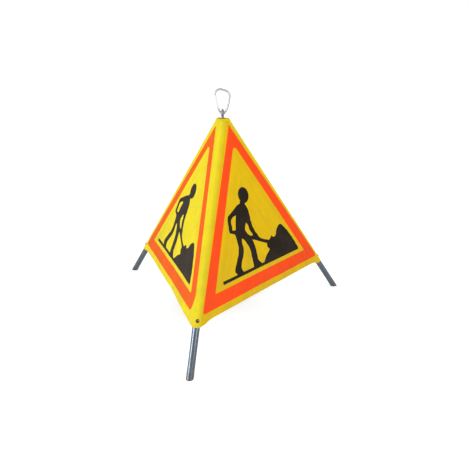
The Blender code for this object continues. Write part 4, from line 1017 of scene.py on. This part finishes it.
def metal_material(name, skin, worn, roughness, wear=0.5, streak_turn=None, grain=0.0, soil=0.25,
                   spangle=0.0, relief=0.35):
    material, tree, shader = new_material(name)
    place = along = object_place(tree)
    if streak_turn is not None:
        along = add_node(tree, "VectorRotate", {"Vector": place, "Rotation": streak_turn},
                         rotation_type="EULER_XYZ", invert=True).outputs[0]
    streak = use_group(tree, STREAKS, {"Vector": along})["Height"]
    edge = use_group(tree, EDGE_WEAR, {"Amount": wear})["Mask"]
    dirt = use_group(tree, GRIME, {"Amount": soil, "Scale": 40.0, "Ground Reach": 0.12})["Mask"]
    dark_skin = color(*(part * 0.72 for part in skin[:3]))
    tone = blend_colors(tree, ramp(tree, streak, 0.35, 0.7), skin, dark_skin)
    if spangle:
        crystals = add_node(tree, "TexVoronoi", {"Vector": place, "Scale": 190.0}).outputs["Color"]
        crystal = add_node(tree, "SeparateColor", {0: crystals}).outputs[0]
        tone = blend_colors(tree, times(tree, crystal, spangle), tone, worn)
    tone = blend_colors(tree, edge, tone, worn)
    rough = plus(tree, times(tree, streak, 0.16), roughness - 0.08)
    height = plus(tree, times(tree, streak, 0.4), times(tree, noise(tree, place, 900.0, 3.0), grain))
    fill(tree, shader, {"Base Color": blend_colors(tree, dirt, tone, DIRT),
                        "Roughness": plus(tree, rough, times(tree, dirt, 0.4), clamp=True),
                        "Metallic": maths(tree, "SUBTRACT", 1.0, times(tree, dirt, 0.8)),
                        "Normal": bump(tree, height, relief, 0.0004)})
    return material


def leg_turn(side):
    """Euler turn that lays the Z axis along a leg."""
    down, outward, rightward = LEG_AXES[side]
    return Matrix((outward, rightward, -down)).transposed().to_euler()


# the blue-grey tint is the tube's own; its darkness is painted shade for the dark surroundings it reflects
ZINC_TUBE = {side: metal_material(f"galvanised tube {side}", color(0.088, 0.112, 0.138),
                                  color(0.36, 0.40, 0.44), 0.25, wear=0.8, streak_turn=leg_turn(side),
                                  spangle=0.14, relief=0.10)
             for side in LEGS}
CAST = metal_material("cast zinc", color(0.30, 0.31, 0.32), color(0.62, 0.63, 0.64), 0.48, grain=1.2)
BRIGHT_ZINC = metal_material("bright zinc", color(0.46, 0.48, 0.50), color(0.75, 0.76, 0.78), 0.30)
CHROME = metal_material("satin chrome", color(0.45, 0.455, 0.47), color(0.64, 0.65, 0.67), 0.48, wear=0.3,
                        soil=0.10)
SPRING_STEEL = metal_material("spring steel", color(0.20, 0.205, 0.215), color(0.5, 0.5, 0.52), 0.36)
GATE_CHROME = metal_material("pale satin chrome", color(0.60, 0.61, 0.63), color(0.80, 0.81, 0.83), 0.48,
                             wear=0.3, soil=0.10)
# the stud is dark brown all over, the dark of the shade round its rim: painted shade
STUD_PAINTED_SHADE = metal_material("stud in painted shade", color(0.13, 0.070, 0.040), color(0.50, 0.42, 0.32), 0.28,
                            soil=0.5)
# darker than the bright zinc, as painted shade for the dark surroundings that the eye, rod and nut reflect
ZINC_PAINTED_DARK = metal_material("zinc painted dark", color(0.25, 0.245, 0.27), color(0.58, 0.58, 0.60), 0.32)


def black_plastic():
    material, tree, shader = new_material("black nylon")
    edge = use_group(tree, EDGE_WEAR, {"Amount": 0.7, "Radius": 0.0005})["Mask"]
    dirt = use_group(tree, GRIME, {"Amount": 0.6, "Scale": 50.0, "Ground Reach": 0.02})["Mask"]
    pebble = noise(tree, object_place(tree), 1400.0, 2.0)
    tone = blend_colors(tree, edge, color(0.018, 0.018, 0.020), color(0.11, 0.11, 0.11))
    fill(tree, shader, {"Base Color": blend_colors(tree, dirt, tone, color(0.16, 0.14, 0.11)),
                        "Roughness": plus(tree, times(tree, pebble, 0.25), 0.42),
                        "Normal": bump(tree, pebble, 0.4, 0.0002)})
    return material


BLACK_NYLON = black_plastic()
print("metal and plastic finishes ready")

# %% [markdown]
# The frame's own pieces keep their shape and get these finishes in their material slots. The few glossy
# round ones are drawn again further down, and wear the same finishes.

# %% Dress the frame's pieces
FINISHES = (
    ("foot_plug", BLACK_NYLON), ("guide_bush", BLACK_NYLON), ("crown_cap", BLACK_NYLON),
    ("head_crown", CAST), ("leg_knuckle", CAST), ("strut_bracket", CAST), ("hub_spider", CAST),
    ("carabiner_gate", GATE_CHROME), ("carabiner", CHROME), ("gate_pin", CHROME),
    ("rod_eye", ZINC_PAINTED_DARK), ("pull_rod", ZINC_PAINTED_DARK), ("eye_lock_nut", ZINC_PAINTED_DARK),
    ("sleeve_rivet", STUD_PAINTED_SHADE), *((f"leg_tube_{side}", ZINC_TUBE[side]) for side in LEGS))


def finish_of(node):
    """The finish of the first name start that fits; pins, struts and the rest are bright zinc."""
    return next((material for start, material in FINISHES if node.startswith(start)), BRIGHT_ZINC)


for name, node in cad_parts.items():
    for slot in node.material_slots:
        slot.material = finish_of(name)
SPRING.data.materials.append(SPRING_STEEL)
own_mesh(SPRING)
print("dressed", len(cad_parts), "pieces of the frame")

# %% [markdown]
# ## Round metal
# The frame's tubes and wire are made of flat facets, and a glossy finish shows them as stripes. A tube is
# easy to draw again with more sides: an outer and an inner ring at the top, two more where the foot is cut
# level, and smooth walls between them. The hook, its gate and the eye are harder to draw, so their own
# mesh is copied, its loose corners are welded, and every edge flatter than a given angle is shaded smooth.

# %% Draw the tubes again and smooth the hook
TUBE_WALL = 0.0015
TUBE_TOP_L = HINGE_L + 0.015
FOOT_CUT_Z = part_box("leg_tube_front")[0][2]


def round_piece(name, places, faces, sharp_deg, body, node):
    """A smooth-shaded piece that stands for a node of the frame and wears the same finish."""
    mesh = solid_mesh(name, places, faces)
    mesh.set_sharp_from_angle(angle=math.radians(sharp_deg))
    mesh.materials.append(finish_of(node))
    piece = link(name, mesh)
    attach(piece, body)
    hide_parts(node)
    return piece


def tube_shape(side, sides=72):
    """Places and faces of a tube along a leg, cut square at the top and level at the foot."""
    down, outward, rightward = LEG_AXES[side]
    places, faces = [], []
    for k in range(sides):
        turn = 2 * math.pi * k / sides
        spoke = math.cos(turn) * outward + math.sin(turn) * rightward
        for radius in (TUBE_RADIUS, TUBE_RADIUS - TUBE_WALL):
            foot_l = (FOOT_CUT_Z - APEX_Z - radius * spoke.z) / down.z
            places += [APEX + length * down + radius * spoke for length in (TUBE_TOP_L, foot_l)]
        n = (k + 1) % sides
        faces += [(4 * k + a, 4 * k + b, 4 * n + b, 4 * n + a) for a, b in ((0, 1), (1, 3), (3, 2), (2, 0))]
    return places, faces


def welded(node):
    """Places and faces of a node's mesh, with the corners that share a place made one."""
    bm = bmesh.new()
    bm.from_mesh(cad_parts[node].data)
    bmesh.ops.remove_doubles(bm, verts=bm.verts, dist=1e-6)
    bm.verts.index_update()
    places = [corner.co.copy() for corner in bm.verts]
    faces = [[corner.index for corner in face.verts] for face in bm.faces]
    bm.free()
    return places, faces


def box_error(piece, node):
    """How far the corners of a piece's box lie from those of the node that it stands for."""
    places = np.array([corner.co for corner in piece.data.vertices])
    corners = zip((places.min(axis=0), places.max(axis=0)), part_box(node))
    return max((Vector(drawn) - Vector(given)).length for drawn, given in corners)


TUBES = {side: round_piece(f"round_tube_{side}", *tube_shape(side), 35, f"leg_{side}", f"leg_tube_{side}")
         for side in LEGS}
for name, node, sharp_deg, body in (("hook_wire", "carabiner_body", 52, "carabiner"),
                                    ("hook_gate", "carabiner_gate", 40, "gate"),
                                    ("hook_eye", "rod_eye", 42, "pull_rod")):
    round_piece(name, *welded(node), sharp_deg, body, node)
off = max(box_error(tube, f"leg_tube_{side}") for side, tube in TUBES.items())
print(f"tube corners off the frame's by {off * 1000:.2f} mm at most")

# %% [markdown]
# ## Floor and light
# The picture's background is plain white. The floor shows a white of its own to the camera, plus the
# light that falls on it, so that a trace of shadow stays under the sign. One large lamp from the left
# makes the left face brighter than the right one, a weaker one fills the front, and a third one behind
# the sign keeps the rear face from going dull.

# %% Floor, world and lamps
AMBIENT = 0.55                                     # the world's light on the sign; the camera sees 1.0
FLOOR_REACH, FLOOR_Z = 30.0, -0.0003
NEAR_GLOW, FAR_GLOW = 0.50, 0.75                   # the floor's own white under the sign and further off
LAMP_AIM, LAMP_DISTANCE = Vector((0, 0, 0.4)), 2.5
# for each lamp: its direction from the sign, its width in metres, its power in watts
LAMPS = {"left_lamp": ((-0.75, -0.61, 0.25), 1.1, 35.0), "front_lamp": ((0.85, -0.62, 0.58), 1.4, 25.0),
         "back_lamp": ((0.05, 1.0, 0.35), 1.4, 20.0)}


def seen_directly(tree):
    """1 for what the camera sees, also in a mirror or through glass; 0 for light that only bounces."""
    rays = add_node(tree, "LightPath").outputs
    seen = maths(tree, "MAXIMUM", rays["Is Camera Ray"], rays["Is Glossy Ray"])
    return maths(tree, "MAXIMUM", seen, rays["Is Transmission Ray"])


def make_floor():
    mesh = bpy.data.meshes.new("floor")
    corners = [(-1, -1), (1, -1), (1, 1), (-1, 1)]
    mesh.from_pydata([(x * FLOOR_REACH, y * FLOOR_REACH, FLOOR_Z) for x, y in corners], [], [(0, 1, 2, 3)])
    floor = link("floor", mesh)
    material, tree, shader = new_material("pale floor")
    place = object_place(tree)
    white = blend_colors(tree, noise(tree, place, 2.0, 4.0), color(0.80, 0.80, 0.80),
                         color(0.84, 0.84, 0.84))
    away = add_node(tree, "VectorMath", {0: place}, operation="LENGTH").outputs["Value"]
    glow = add_node(tree, "MapRange", {"Value": away, "From Min": 0.6, "From Max": 2.6, "To Min": NEAR_GLOW,
                                       "To Max": FAR_GLOW}, interpolation_type="SMOOTHSTEP").outputs[0]
    fill(tree, shader, {"Base Color": white, "Roughness": 0.9, "Specular IOR Level": 0.0,
                        "Emission Color": color(1, 1, 1),
                        "Emission Strength": times(tree, seen_directly(tree), glow)})
    floor.data.materials.append(material)


def make_world():
    world = bpy.data.worlds.new("studio")
    bpy.context.scene.world = world
    world.use_nodes = True
    tree = world.node_tree
    strength = plus(tree, times(tree, seen_directly(tree), 1.0 - AMBIENT), AMBIENT)
    fill(tree, tree.nodes["Background"], {"Color": color(1, 1, 1), "Strength": strength})


def make_lamp(name, direction, size, power):
    lamp = bpy.data.lights.new(name, "AREA")
    lamp.shape, lamp.size, lamp.energy = "DISK", size, power
    holder = bpy.data.objects.new(name, lamp)
    bpy.context.scene.collection.objects.link(holder)
    direction = Vector(direction).normalized()
    holder.location = LAMP_AIM + direction * LAMP_DISTANCE
    holder.rotation_euler = direction.to_track_quat("Z", "Y").to_euler()


make_floor()
make_world()
for name, (direction, size, power) in LAMPS.items():
    make_lamp(name, direction, size, power)
bpy.context.scene.view_settings.view_transform = "Standard"
print("stage set")
